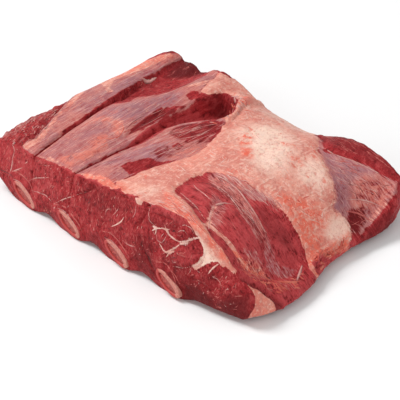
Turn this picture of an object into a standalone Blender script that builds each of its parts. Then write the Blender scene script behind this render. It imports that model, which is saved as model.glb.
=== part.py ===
"""Raw beef short ribs: one bone-in slab, cut square across four ribs.

The slab lies on its bone side. X runs across the ribs, Y along them from the near cut face to the
far one, and Z is up. The origin is at the middle of the slab's footprint, on the surface it lies on.
"""

import math

import bmesh
import bpy
import numpy as np
from mathutils import noise

MM = 0.001

# The ribs: their pitch sets the scale of the whole piece.
RIB_COUNT = 4
RIB_PITCH = 52.0
FIRST_RIB_X = -88.0
RIB_WIDTH = 27.0
RIB_THICKNESS = 11.5
RIB_TILT = math.radians(-25.0)
RIB_CENTRE_Z = 9.6
RIB_PROUD = 0.5
CORTEX_WALL = 3.2
MARROW_RECESS = 0.6
CLEARANCE = 0.35
RIB_SIDES = 22
MARROW_SIDES = 14

# Middle of the footprint in the frame that the numbers below are drawn in.
ORIGIN = (6.1, 0.0)

# The slab's footprint: its four edges, each given at knots along its length.
NEAR_Y = -97.0
FAR_Y = 95.0
NEAR_LEAN_BACK = 8.0
NEAR_KNOTS = (-131.0, -100.0, 60.0, 90.0, 112.0, 131.0)
NEAR_EDGE = (-96.0, -97.0, -97.0, -94.5, -91.0, -86.0)
SIDE_KNOTS = (-97.0, -90.0, -78.0, -62.0, -42.0, -22.0, 4.0, 36.0, 74.0, 95.0)
LEFT_EDGE = (-128.0, -130.0, -131.0, -131.0, -130.5, -130.0, -130.0, -130.5, -129.0, -121.0)
RIGHT_EDGE = (121.0, 131.0, 138.5, 142.5, 143.0, 139.5, 131.0, 129.5, 131.0, 123.0)
FAR_KNOTS = (-131.0, -110.0, -80.0, -45.0, -5.0, 25.0, 45.0, 64.0, 95.0, 131.0)
FAR_EDGE = (90.0, 95.0, 90.0, 93.0, 89.0, 90.0, 91.0, 94.5, 97.0, 94.0)

# Top of the slab on a coarse net: rows run from the near edge to the far edge.
NET_X = (-126.0, -86.0, -46.0, -6.0, 34.0, 74.0, 104.0, 126.0, 143.0)
NET_Y = (-92.5, -58.0, -18.0, 22.0, 62.0, 94.0)
NET_Z = (
    (39.0, 43.0, 48.0, 54.0, 60.0, 64.0, 57.0, 37.0, 20.0),
    (42.0, 46.0, 50.0, 55.0, 60.0, 62.0, 50.0, 27.0, 12.0),
    (42.0, 48.0, 51.0, 56.0, 60.0, 58.0, 43.0, 18.0, 10.0),
    (40.0, 48.0, 52.0, 57.0, 59.0, 54.0, 38.0, 15.0, 12.0),
    (39.0, 47.0, 52.0, 53.0, 51.0, 49.0, 38.0, 18.0, 14.0),
    (45.0, 43.0, 46.0, 34.0, 33.0, 46.0, 43.0, 37.0, 33.0),
)

# Underside: flat along each rib, hollowed between ribs, lifted at the left end.
RIB_FLAT = 7.0
BETWEEN_RIBS_LIFT = 4.5
LEFT_END_LIFT = 9.0
LEFT_END_LENGTH = 24.0

# Two knife slits part the top into three muscle strips. Each route gives X at the knots along Y.
ROUTE_Y = (-92.5, -60.0, -30.0, 0.0, 30.0, 60.0, 98.0)
SLIT_A_LEFT = (-81.5, -87.0, -91.0, -96.5, -102.5, -107.5, -110.0)
SLIT_A_FLOOR = (-80.5, -85.6, -89.3, -93.8, -98.0, -101.0, -103.0)
SLIT_A_RIGHT = (-79.5, -83.6, -86.8, -91.5, -88.5, -81.5, -80.0)
SLIT_A_DEPTH = (3.0, 8.0, 9.0, 9.5, 10.0, 9.0, 8.0)
SLIT_B_LEFT = (-38.0, -36.0, -36.0, -41.5, -43.0, -40.0, -36.0)
SLIT_B_FLOOR = (-36.8, -34.6, -33.6, -36.0, -36.0, -31.0, -28.0)
SLIT_B_RIGHT = (-35.6, -33.0, -31.5, -28.5, -25.5, -14.0, -12.0)
SLIT_B_DEPTH = (3.0, 7.0, 8.0, 9.0, 11.0, 15.0, 0.0)
SLIT_B_END_Y = 64.0
SLIT_B_END_BLEND = 6.0
STRIP_CROWN = (4.0, 4.0, 3.0)
THIRD_STRIP_EDGE = (-4.0, 0.0, 4.0, 8.0, 2.0, -6.0, -10.0)

# The fan of thin muscles on the near right of the top.
FAN_CENTRE = (77.0, -45.0)
FAN_HALF_SIZE = (46.0, 24.0)
FAN_TURN = math.radians(-9.0)
FAN_BUNDLES = 5
FAN_RELIEF = 1.6
FAN_SINK = 2.0

# The fat cover: its outline on the top, its depth into the lean and how far it stands proud.
FAT_OUTLINE = (
    (4.0, -110.0), (2.0, -82.0), (-3.0, -66.0), (3.0, -50.0), (10.0, -31.0), (9.0, -14.0),
    (3.0, 2.0), (-6.0, 22.0), (-8.0, 40.0), (-10.0, 55.0), (-20.0, 67.0), (-40.0, 71.0),
    (-53.0, 76.0), (-58.0, 110.0), (58.0, 110.0), (56.0, 74.0), (62.0, 62.0), (76.0, 50.0),
    (92.0, 37.0), (112.0, 31.0), (160.0, 28.0), (160.0, -12.0), (124.0, -17.0), (104.0, -15.0),
    (86.0, -19.0), (64.0, -20.0), (46.0, -22.0), (38.0, -32.0), (39.0, -46.0), (44.0, -60.0),
    (54.0, -68.0), (72.0, -75.0), (90.0, -79.0), (104.0, -82.0), (113.0, -80.5), (122.0, -78.0),
    (130.0, -110.0),
)
FAT_SEAT = 2.0
FAT_PROUD = 1.0
FAT_GAP = 0.45
FAT_FADE = 12.0
NEAR_SEAM_CENTRE_X = 98.0
NEAR_SEAM_HALF_WIDTH = 26.0
NEAR_SEAM_DEPTH = 18.0
NEAR_SEAM_FADE = 4.0

# Mesh density of the slab: cells in each lane across the ribs, along them and up the walls.
LANE_CELLS = (5, 1, 2, 5, 1, 3, 4, 19)
ROWS = 34
WALL_CELLS = 6
UNEVENNESS = 0.7
UNEVENNESS_SPAN = 21.0


def curve_weights(knots, x):
    """Weights of a smooth curve through the knots, one row for each x."""
    knots = np.asarray(knots, float)
    x = np.clip(x, knots[0], knots[-1])
    cell = np.clip(np.searchsorted(knots, x, side="right") - 1, 0, len(knots) - 2)
    span = knots[cell + 1] - knots[cell]
    t = (x - knots[cell]) / span
    ends = np.eye(len(knots))
    slopes = np.gradient(ends, knots, axis=0)
    start = (1 + 2 * t) * (1 - t) ** 2
    rise = t * (1 - t) ** 2 * span
    stop = t * t * (3 - 2 * t)
    fall = t * t * (t - 1) * span
    return (
        start[:, None] * ends[cell]
        + rise[:, None] * slopes[cell]
        + stop[:, None] * ends[cell + 1]
        + fall[:, None] * slopes[cell + 1]
    )


def along(knots, values, x):
    """The smooth curve through (knots, values) at each x."""
    return curve_weights(knots, x) @ np.asarray(values, float)


def smooth_step(low, high, x):
    t = np.clip((x - low) / (high - low), 0.0, 1.0)
    return t * t * (3 - 2 * t)


def rib_x(number):
    """X of a rib's centre line."""
    return FIRST_RIB_X + RIB_PITCH * number


def lane_edges(y):
    """X of the lines that the mesh follows across the slab, from the left end to the right end."""
    return np.stack([
        along(SIDE_KNOTS, LEFT_EDGE, y),
        along(ROUTE_Y, SLIT_A_LEFT, y),
        along(ROUTE_Y, SLIT_A_FLOOR, y),
        along(ROUTE_Y, SLIT_A_RIGHT, y),
        along(ROUTE_Y, SLIT_B_LEFT, y),
        along(ROUTE_Y, SLIT_B_FLOOR, y),
        along(ROUTE_Y, SLIT_B_RIGHT, y),
        along(ROUTE_Y, THIRD_STRIP_EDGE, y),
        along(SIDE_KNOTS, RIGHT_EDGE, y),
    ])


def valley(x, left, floor, right):
    """0 at the two lips and 1 at the floor line, with a steep left wall and an easy right one."""
    falling = np.clip((x - left) / (floor - left), 0, 1)
    rising = np.clip((right - x) / (right - floor), 0, 1)
    inside = (x > left) & (x < right)
    return np.where(inside, np.minimum(falling, rising), 0.0)


def crown(x, left, right):
    """A rounded back between two lines: 0 at both and 1 in the middle."""
    across = np.clip((x - left) / (right - left), 0, 1)
    return 4 * across * (1 - across)


def top_form(x, y):
    """Height of the slab's top with its strips, slits and muscle fan."""
    net = np.einsum("nj,ni,ji->n", curve_weights(NET_Y, y), curve_weights(NET_X, x), np.array(NET_Z))
    edge, a_left, a_floor, a_right, b_left, b_floor, b_right, third, _ = lane_edges(y)
    inland = smooth_step(NEAR_Y, NEAR_Y + 20.0, y) * smooth_step(FAR_Y + 4.0, FAR_Y - 20.0, y)
    strips = (
        STRIP_CROWN[0] * crown(x, edge, a_left)
        + STRIP_CROWN[1] * crown(x, a_right, b_left)
        + STRIP_CROWN[2] * crown(x, b_right, third)
    )
    slit_b_open = 1 - smooth_step(SLIT_B_END_Y - SLIT_B_END_BLEND, SLIT_B_END_Y, y)
    slits = along(ROUTE_Y, SLIT_A_DEPTH, y) * valley(x, a_left, a_floor, a_right)
    slits += slit_b_open * along(ROUTE_Y, SLIT_B_DEPTH, y) * valley(x, b_left, b_floor, b_right)
    return net + inland * strips - slits - fan_form(x, y)


def fan_place(x, y):
    """Where a point lies in the muscle fan: along its bundles and across them, 1 at its rim."""
    dx, dy = x - FAN_CENTRE[0], y - FAN_CENTRE[1]
    run = dx * math.cos(FAN_TURN) + dy * math.sin(FAN_TURN)
    cross = dy * math.cos(FAN_TURN) - dx * math.sin(FAN_TURN)
    return run / FAN_HALF_SIZE[0], cross / FAN_HALF_SIZE[1]


def fan_form(x, y):
    """How far the fan's thin muscles lie below the fat round them."""
    run, cross = fan_place(x, y)
    inside = 1 - smooth_step(0.75, 1.0, np.hypot(run, cross))
    bundles = np.cos(math.pi * FAN_BUNDLES * (cross + 1))
    return inside * (FAN_SINK + FAN_RELIEF * (0.5 - 0.5 * bundles))


def fat_reach(x, y):
    """Distance inside the fat cover's outline: positive inside, negative outside."""
    points = np.array(FAT_OUTLINE)
    distance = np.full(x.shape, 1e9)
    inside = np.zeros(x.shape, bool)
    for (ax, ay), (bx, by) in zip(points, np.roll(points, -1, axis=0)):
        run, rise = bx - ax, by - ay
        share = np.clip(((x - ax) * run + (y - ay) * rise) / (run ** 2 + rise ** 2), 0, 1)
        distance = np.minimum(distance, np.hypot(x - ax - share * run, y - ay - share * rise))
        if rise:
            inside ^= ((ay > y) != (by > y)) & (x < ax + (y - ay) * run / rise)
    return np.where(inside, distance, -distance)


def lean_form(x, y):
    """Height of the lean: the top, less the seat that the fat cover fills."""
    reach = fat_reach(x, y)
    edge = along(NEAR_KNOTS, NEAR_EDGE, x) + NEAR_LEAN_BACK
    off_centre = np.abs(x - NEAR_SEAM_CENTRE_X) / NEAR_SEAM_HALF_WIDTH
    seam = smooth_step(1.0, 0.3, off_centre) * smooth_step(0.0, NEAR_SEAM_FADE, reach)
    seam = seam * smooth_step(edge + 2.5 * NEAR_SEAM_FADE, edge, y)
    seat = FAT_SEAT * smooth_step(0.0, FAT_FADE, reach)
    return top_form(x, y) - seat - (NEAR_SEAM_DEPTH - FAT_SEAT) * seam


def under_form(x, y):
    """Height of the underside: 0 along each rib, raised between ribs and at the left end."""
    between = np.full(x.shape, 1e9)
    for number in range(RIB_COUNT):
        between = np.minimum(between, np.abs(x - rib_x(number)))
    lift = BETWEEN_RIBS_LIFT * smooth_step(RIB_FLAT, RIB_PITCH / 2, between)
    return lift + LEFT_END_LIFT * smooth_step(LEFT_EDGE[0] + LEFT_END_LENGTH, LEFT_EDGE[0], x)


def wall_inset(share, top, bottom):
    """How far a wall pulls in at a share of its height, rounded above and below."""
    above = np.clip((share - 0.6) / 0.4, 0, 1) ** 2
    below = np.clip((0.4 - share) / 0.4, 0, 1) ** 2
    return top * above + bottom * below


def wall_unevenness(x, y, z):
    span = UNEVENNESS_SPAN
    return np.array([noise.noise((px / span, py / span, pz / span)) for px, py, pz in zip(x, y, z)])


def lane_position(column):
    """Which lane a column lies in, and how far across it."""
    starts = np.concatenate([[0], np.cumsum(LANE_CELLS)])
    lane = np.clip(np.searchsorted(starts, column, side="right") - 1, 0, len(LANE_CELLS) - 1)
    return lane, (column - starts[lane]) / np.array(LANE_CELLS)[lane]


def slab_points(column, row, share, plan_share, floor_of, roof_of):
    """Points of a slab between two height functions, each at a share of its height.

    The plan share is the height that its footprint is taken at.
    """
    across = column / sum(LANE_CELLS)
    depth = row / ROWS
    lane, in_lane = lane_position(column)
    every = np.arange(len(column))
    y = NEAR_Y + (FAR_Y - NEAR_Y) * depth
    for _ in range(3):
        edges = lane_edges(y)
        x = edges[lane, every] * (1 - in_lane) + edges[lane + 1, every] * in_lane
        x = x + wall_inset(plan_share, 4.0, 8.0) * (1 - across) ** 6
        x = x - wall_inset(plan_share, 4.0, 5.0) * across ** 6
        near = along(NEAR_KNOTS, NEAR_EDGE, x) + NEAR_LEAN_BACK * plan_share
        near = near + wall_inset(plan_share, 1.0, 2.5)
        far = along(FAR_KNOTS, FAR_EDGE, x) - wall_inset(plan_share, 4.0, 3.0)
        y = near * (1 - depth) + far * depth
    z = floor_of(x, y) * (1 - share) + roof_of(x, y) * share
    on_wall = (share > 0) & (share < 1)
    bulge = np.where(on_wall, UNEVENNESS * wall_unevenness(x, y, z), 0.0)
    x = x + bulge * (np.where(across == 1, 1.0, 0.0) - np.where(across == 0, 1.0, 0.0))
    y = y + bulge * (np.where(depth == 1, 1.0, 0.0) - np.where(depth == 0, 1.0, 0.0))
    return np.stack([x, y, z], axis=1)


def subdivided_box(cells):
    """A cube mesh with the given number of cells along each axis, its corners at -1 and 1."""
    mesh = bmesh.new()
    bmesh.ops.create_cube(mesh, size=2.0)
    for axis, count in enumerate(cells):
        edges = [e for e in mesh.edges if abs(e.verts[0].co[axis] - e.verts[1].co[axis]) > 1.9]
        if count > 1:
            bmesh.ops.subdivide_edges(mesh, edges=edges, cuts=count - 1, use_grid_fill=True)
    return mesh


def slab_mesh(name, floor_of, roof_of, wall_cells, upright=False):
    """A closed slab over the whole footprint, between two height functions."""
    cells = (sum(LANE_CELLS), ROWS, wall_cells)
    mesh = subdivided_box(cells)
    places = np.array([v.co for v in mesh.verts])
    column, row, level = np.rint((places + 1) / 2 * np.array(cells)).T
    share = level / wall_cells
    plan_share = np.ones_like(share) if upright else share
    points = slab_points(column, row, share, plan_share, floor_of, roof_of)
    for vertex, point in zip(mesh.verts, points * MM):
        vertex.co = point
    bmesh.ops.triangulate(mesh, faces=mesh.faces[:], quad_method="SHORT_EDGE")
    return finished(name, mesh)


def finished(name, mesh):
    """A bmesh as a named object with smooth faces that point outwards, moved to the part's origin."""
    bmesh.ops.translate(mesh, verts=mesh.verts[:], vec=(-ORIGIN[0] * MM, -ORIGIN[1] * MM, 0.0))
    bmesh.ops.recalc_face_normals(mesh, faces=mesh.faces[:])
    data = bpy.data.meshes.new(name)
    mesh.to_mesh(data)
    mesh.free()
    data.shade_smooth()
    data.set_sharp_from_angle(angle=math.radians(40))
    made = bpy.data.objects.new(name, data)
    bpy.context.scene.collection.objects.link(made)
    return made


def material(name, colour, roughness):
    made = bpy.data.materials.new(name)
    made.use_nodes = True
    surface = made.node_tree.nodes["Principled BSDF"]
    surface.inputs["Base Color"].default_value = (*colour, 1.0)
    surface.inputs["Roughness"].default_value = roughness
    surface.inputs["Metallic"].default_value = 0.0
    return made


def rib_ring(width, thickness, sides):
    """The outline of a rib's cross-section: an oval, tilted across the slab."""
    ring = []
    for step in range(sides):
        turn = 2 * math.pi * step / sides
        wide, high = width / 2 * math.cos(turn), thickness / 2 * math.sin(turn)
        ring.append((
            wide * math.cos(RIB_TILT) - high * math.sin(RIB_TILT),
            wide * math.sin(RIB_TILT) + high * math.cos(RIB_TILT),
        ))
    return ring


def rib_rings(mesh, number, size, near, far, sides):
    """Rings of vertices at the two ends of a rib."""
    return [
        [
            mesh.verts.new(((rib_x(number) + dx) * MM, y * MM, (RIB_CENTRE_Z + dz) * MM))
            for dx, dz in rib_ring(*size, sides)
        ]
        for y in (near, far)
    ]


def skin(mesh, rings):
    """Faces between neighbouring rings."""
    for first, second in zip(rings, rings[1:]):
        for a, b, c, d in zip(first, first[1:] + first[:1], second[1:] + second[:1], second):
            mesh.faces.new((a, b, c, d))


def rib_rod(name, number, size, near, far, sides):
    """A solid rod along a rib, such as its marrow or the cutter for its channel."""
    mesh = bmesh.new()
    rings = rib_rings(mesh, number, size, near, far, sides)
    skin(mesh, rings)
    mesh.faces.new(rings[0])
    mesh.faces.new(rings[-1])
    return finished(name, mesh)


def rib_tube(name, number, outer, inner, near, far):
    """A rib's hard outer bone, open along the middle for its marrow."""
    mesh = bmesh.new()
    outside = rib_rings(mesh, number, outer, near, far, RIB_SIDES)
    inside = rib_rings(mesh, number, inner, near, far, RIB_SIDES)
    skin(mesh, outside)
    skin(mesh, inside)
    skin(mesh, [outside[0], inside[0]])
    skin(mesh, [outside[-1], inside[-1]])
    return finished(name, mesh)


def boolean(target, other, operation):
    """Cuts or joins with the EXACT solver, applied at once, and removes the other object."""
    change = target.modifiers.new("cut", "BOOLEAN")
    change.operation = operation
    change.object = other
    change.solver = "EXACT"
    graph = bpy.context.evaluated_depsgraph_get()
    result = bpy.data.meshes.new_from_object(target.evaluated_get(graph))
    target.modifiers.clear()
    target.data = result
    bpy.data.objects.remove(other)


def rib_ends(number):
    """Near and far end of a rib, a little proud of the two cut faces."""
    far = float(along(FAR_KNOTS, FAR_EDGE, np.array([rib_x(number)]))[0])
    near_face = NEAR_Y + NEAR_LEAN_BACK * RIB_CENTRE_Z / NET_Z[0][number + 2]
    return near_face - RIB_PROUD, far + RIB_PROUD


def build_ribs(bone, marrow):
    """Four ribs, each a hard tube round a marrow core."""
    outer = (RIB_WIDTH, RIB_THICKNESS)
    inner = (RIB_WIDTH - 2.6 * CORTEX_WALL, RIB_THICKNESS - 2 * CORTEX_WALL)
    core = (inner[0] - 2 * CLEARANCE, inner[1] - 2 * CLEARANCE)
    for number in range(RIB_COUNT):
        near, far = rib_ends(number)
        tube = rib_tube(f"rib_{number + 1}", number, outer, inner, near, far)
        tube.data.materials.append(bone)
        core_near, core_far = near + MARROW_RECESS, far - MARROW_RECESS
        rod = rib_rod(f"marrow_{number + 1}", number, core, core_near, core_far, MARROW_SIDES)
        rod.data.materials.append(marrow)


def build_lean(lean):
    """The lean slab, with a channel cut through it for each rib."""
    slab = slab_mesh("lean_meat", under_form, lean_form, WALL_CELLS)
    channel = (RIB_WIDTH + 2 * CLEARANCE, RIB_THICKNESS + 2 * CLEARANCE)
    for number in range(RIB_COUNT):
        cutter = rib_rod("channel", number, channel, 2 * NEAR_Y, 2 * FAR_Y, RIB_SIDES)
        boolean(slab, cutter, "DIFFERENCE")
    slab.data.materials.append(lean)


def outline_prism():
    """The fat cover's outline, drawn up through the slab."""
    mesh = bmesh.new()
    base = mesh.faces.new([mesh.verts.new((x * MM, y * MM, 0.0)) for x, y in FAT_OUTLINE])
    raised = bmesh.ops.extrude_face_region(mesh, geom=[base])
    tops = [item for item in raised["geom"] if isinstance(item, bmesh.types.BMVert)]
    bmesh.ops.translate(mesh, verts=tops, vec=(0.0, 0.0, 0.12))
    return finished("outline", mesh)


def build_fat(fat):
    """The fat cover: a sheet seated in the lean, a little proud of it, trimmed to its outline."""
    sheet = slab_mesh(
        "fat_cover",
        lambda x, y: lean_form(x, y) + FAT_GAP,
        lambda x, y: top_form(x, y) + FAT_GAP + FAT_PROUD,
        wall_cells=1,
        upright=True,
    )
    boolean(sheet, outline_prism(), "INTERSECT")
    sheet.data.materials.append(fat)


def main():
    for existing in list(bpy.data.objects):
        bpy.data.objects.remove(existing)
    build_lean(material("lean", (0.36, 0.035, 0.035), 0.42))
    build_fat(material("fat", (0.82, 0.45, 0.34), 0.40))
    build_ribs(material("bone", (0.72, 0.50, 0.42), 0.45), material("marrow", (0.40, 0.05, 0.03), 0.50))


main()
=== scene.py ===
"""Raw beef short ribs: the looks of one bone-in slab, four ribs wide.

The slab is drawn in millimetres in plan: x runs across the ribs, y along them from the near cut
face to the far one, and z up. Each mesh is moved to the part's own origin when it is finished.
"""
import logging
import math
import re
from dataclasses import dataclass
from enum import Enum
from itertools import product
from typing import Callable, Sequence

import bmesh
import bpy
import numpy as np
from mathutils import Matrix, Vector
from mathutils.bvhtree import BVHTree


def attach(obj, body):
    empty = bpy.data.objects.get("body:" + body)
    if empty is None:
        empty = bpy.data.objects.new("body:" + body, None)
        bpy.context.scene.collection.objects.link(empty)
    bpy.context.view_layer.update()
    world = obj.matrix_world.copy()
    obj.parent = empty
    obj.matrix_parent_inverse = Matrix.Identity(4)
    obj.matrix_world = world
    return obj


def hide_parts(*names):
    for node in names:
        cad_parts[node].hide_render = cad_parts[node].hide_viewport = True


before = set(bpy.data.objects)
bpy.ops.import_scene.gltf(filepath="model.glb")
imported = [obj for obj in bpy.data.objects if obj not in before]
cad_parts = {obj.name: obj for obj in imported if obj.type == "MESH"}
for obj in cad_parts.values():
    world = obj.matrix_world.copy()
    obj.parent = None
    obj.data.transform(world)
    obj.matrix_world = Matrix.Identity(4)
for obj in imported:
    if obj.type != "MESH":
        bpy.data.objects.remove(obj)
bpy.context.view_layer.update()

LOG = logging.getLogger("short_ribs")
MM = 0.001
ORIGIN = (6.1, 0.0)

Array = np.ndarray
Numbers = tuple[float, ...]
Points = tuple[tuple[float, float], ...]
Triple = tuple[float, float, float]
Colour = tuple[float, float, float]
Relief = tuple[tuple[Points, Numbers], ...]
ROW = re.compile(r"([^:,]+):((?:\s+[-.\d]+,[-.\d]+)+)")


def trace(text: str) -> Points:
    """Points from text such as "4,-110 3,-84"."""
    return tuple((float(x), float(y)) for x, y in (pair.split(",") for pair in text.split()))


def rows(text: str) -> list[tuple[list[str], Points]]:
    """Rows of a table, each with a few words, a colon and its points."""
    return [(head.split(), trace(path)) for head, path in ROW.findall(text)]


def relief_table(text: str) -> Relief:
    """Outlines or lines of a relief, each with its sizes in front."""
    return tuple((points, tuple(map(float, head))) for head, points in rows(text))


def on_level(x: Array, y: Array, level: float = 0.0) -> Array:
    """Places in plan, all on one level of the noise."""
    return np.stack([x, y, np.full_like(x, level)], axis=1)


def smooth_step(low: float, high: float, value: Array) -> Array:
    """An eased ramp, 0 at low and 1 at high, read at each value."""
    t = np.clip((value - low) / (high - low), 0.0, 1.0)
    return t * t * (3 - 2 * t)


def curve_weights(knots: Sequence[float], value: Array) -> Array:
    """Weights of a smooth curve through knots.

    Args:
        knots: rising positions of the knots.
        value: positions to weigh.

    Returns:
        One row of knot weights for each position.
    """
    knots = np.asarray(knots, float)
    value = np.clip(value, knots[0], knots[-1])
    cell = np.clip(np.searchsorted(knots, value, side="right") - 1, 0, len(knots) - 2)
    span = knots[cell + 1] - knots[cell]
    t = ((value - knots[cell]) / span)[:, None]
    ends = np.eye(len(knots))
    slopes = np.gradient(ends, knots, axis=0)
    start, stop = (1 + 2 * t) * (1 - t) ** 2, t * t * (3 - 2 * t)
    rise, fall = t * (1 - t) ** 2 * span[:, None], t * t * (t - 1) * span[:, None]
    return start * ends[cell] + rise * slopes[cell] + stop * ends[cell + 1] + fall * slopes[cell + 1]


def along(knots: Sequence[float], values: Sequence[float], value: Array) -> Array:
    """A smooth curve through values at rising knots, read at each position."""
    return curve_weights(knots, value) @ np.asarray(values, float)


@dataclass(frozen=True)
class Unevenness:
    """Smooth seeded noise through space, for relief and ragged edges."""

    seed: int

    def at(self, places: Array, span: float) -> Array:
        """Noise at places.

        Args:
            places: one row of x, y, z for each place.
            span: size of one lump, in the places' unit.

        Returns:
            A value of about -1 to 1 for each place.
        """
        cell = places / span
        base = np.floor(cell).astype(np.int64)
        part = cell - base
        ease = part ** 3 * (part * (6 * part - 15) + 10)
        total = np.zeros(len(places))
        for corner in product((0, 1), repeat=3):
            at = (base + corner).astype(np.uint64)
            mixed = at[:, 0] * np.uint64(73856093) ^ at[:, 1] * np.uint64(19349663)
            mixed = mixed ^ at[:, 2] * np.uint64(83492791) ^ np.uint64(self.seed * 2654435761)
            mixed = (mixed ^ (mixed >> np.uint64(13))) * np.uint64(1274126177)
            mixed = mixed ^ (mixed >> np.uint64(17))
            weight = np.prod(np.where(corner, ease, 1 - ease), axis=1)
            slope = np.stack([(mixed >> np.uint64(10 * k)) & np.uint64(1023) for k in range(3)], axis=1)
            slope = slope.astype(float) / 511.5 - 1
            total += weight * np.sum(slope * (part - corner), axis=1)
        return 1.6 * total

    def layered(self, places: Array, span: float, layers: int = 3) -> Array:
        """Noise at places, its largest lumps a span wide, with finer layers on them."""
        return sum(self.at(places, span / 2 ** k) / 2 ** k for k in range(layers)) / 1.4


def side_distance(start: tuple[float, float], stop: tuple[float, float], across: Array, up: Array) -> Array:
    """Distance to a straight line between two points.

    Args:
        start: the line's first point.
        stop: its last point.
        across: first coordinate of each place.
        up: second coordinate of each place.

    Returns:
        The distance from each place to the line.
    """
    (ax, ay), (bx, by) = start, stop
    run, rise = bx - ax, by - ay
    share = np.clip(((across - ax) * run + (up - ay) * rise) / (run ** 2 + rise ** 2), 0, 1)
    return np.hypot(across - ax - share * run, up - ay - share * rise)


@dataclass(frozen=True)
class Outline:
    """A closed outline, in plan or on the near face."""

    points: Points

    def reach(self, across: Array, up: Array) -> Array:
        """How far places lie inside the outline.

        Args:
            across: first coordinate of each place.
            up: second coordinate of each place.

        Returns:
            The distance to the outline, negative outside.
        """
        corners = np.array(self.points, float)
        distance = np.full(across.shape, 1e9)
        inside = np.zeros(across.shape, bool)
        for (ax, ay), (bx, by) in zip(corners, np.roll(corners, -1, axis=0)):
            distance = np.minimum(distance, side_distance((ax, ay), (bx, by), across, up))
            if by != ay:
                inside ^= ((ay > up) != (by > up)) & (across < ax + (up - ay) * (bx - ax) / (by - ay))
        return np.where(inside, distance, -distance)


def line_distance(points: Points, across: Array, up: Array) -> Array:
    """Distance to an open line.

    Args:
        points: the line's points.
        across: first coordinate of each place.
        up: second coordinate of each place.

    Returns:
        The distance from each place to the line.
    """
    distance = np.full(across.shape, 1e9)
    for start, stop in zip(points, points[1:]):
        distance = np.minimum(distance, side_distance(start, stop, across, up))
    return distance


class Tissue(Enum):
    """What a mapped region is made of or tinted with."""

    FAT = "fat"
    SKIN = "skin"
    OPEN = "open lean"
    # Darker lean together with painted shade: the shade in slits, pockets, grooves and hollows, on the right
    # end and at the foot of the near face.
    SHADE_AND_DARK = "dark"
    WHITE = "white"
    WARM = "warm"
    LILAC = "lilac"
    BRIGHT = "bright"
    CUT = "cut"
    ACROSS = "across"


@dataclass(frozen=True)
class Region:
    """A mapped area of one tissue, in plan or on the near face."""

    tissue: Tissue
    outline: Outline
    softness: float
    strength: float

    def cover(self, across: Array, up: Array, wander: Array) -> Array:
        """How much of the tissue shows at places, as its edge strays by wander."""
        reach = self.outline.reach(across, up) + wander
        return self.strength * smooth_step(-self.softness, self.softness, reach)


def regions(text: str) -> tuple[Region, ...]:
    """Regions from rows of tissue, softness, strength and outline."""
    return tuple(Region(Tissue[tissue], Outline(points), float(softness), float(strength))
                 for (tissue, softness, strength), points in rows(text))


FAT_EDGE: Points = trace("""
    4,-110 3,-84 -2,-79 1,-70 2,-60 4,-51 8,-41 13,-31 17,-19 15,-7 11,6 6,18 1,29 -3,34 -5,44 -13,55
    -20,63 -28,67 -36,64 -41,53 -47,50 -51,60 -55,71 -60,84 -66,110 46,110 49,84 65,62 82,52 95,46 104,40
    109,31 113,36 119,42 125,37 129,29 160,28 160,-14 130,-17 123,-12 113,-10 102,-11 90,-12 77,-16 62,-20
    46,-26 40,-32 37,-44 39,-57 42,-64 58,-70 72,-73 84,-76 97,-82 109,-82 118,-80 124,-110
""")

# The dark rows are mostly painted shade: in the slits, the pocket at the end of the second slit, grooves,
# hollows and on the right end; a few mark darker lean.
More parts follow.
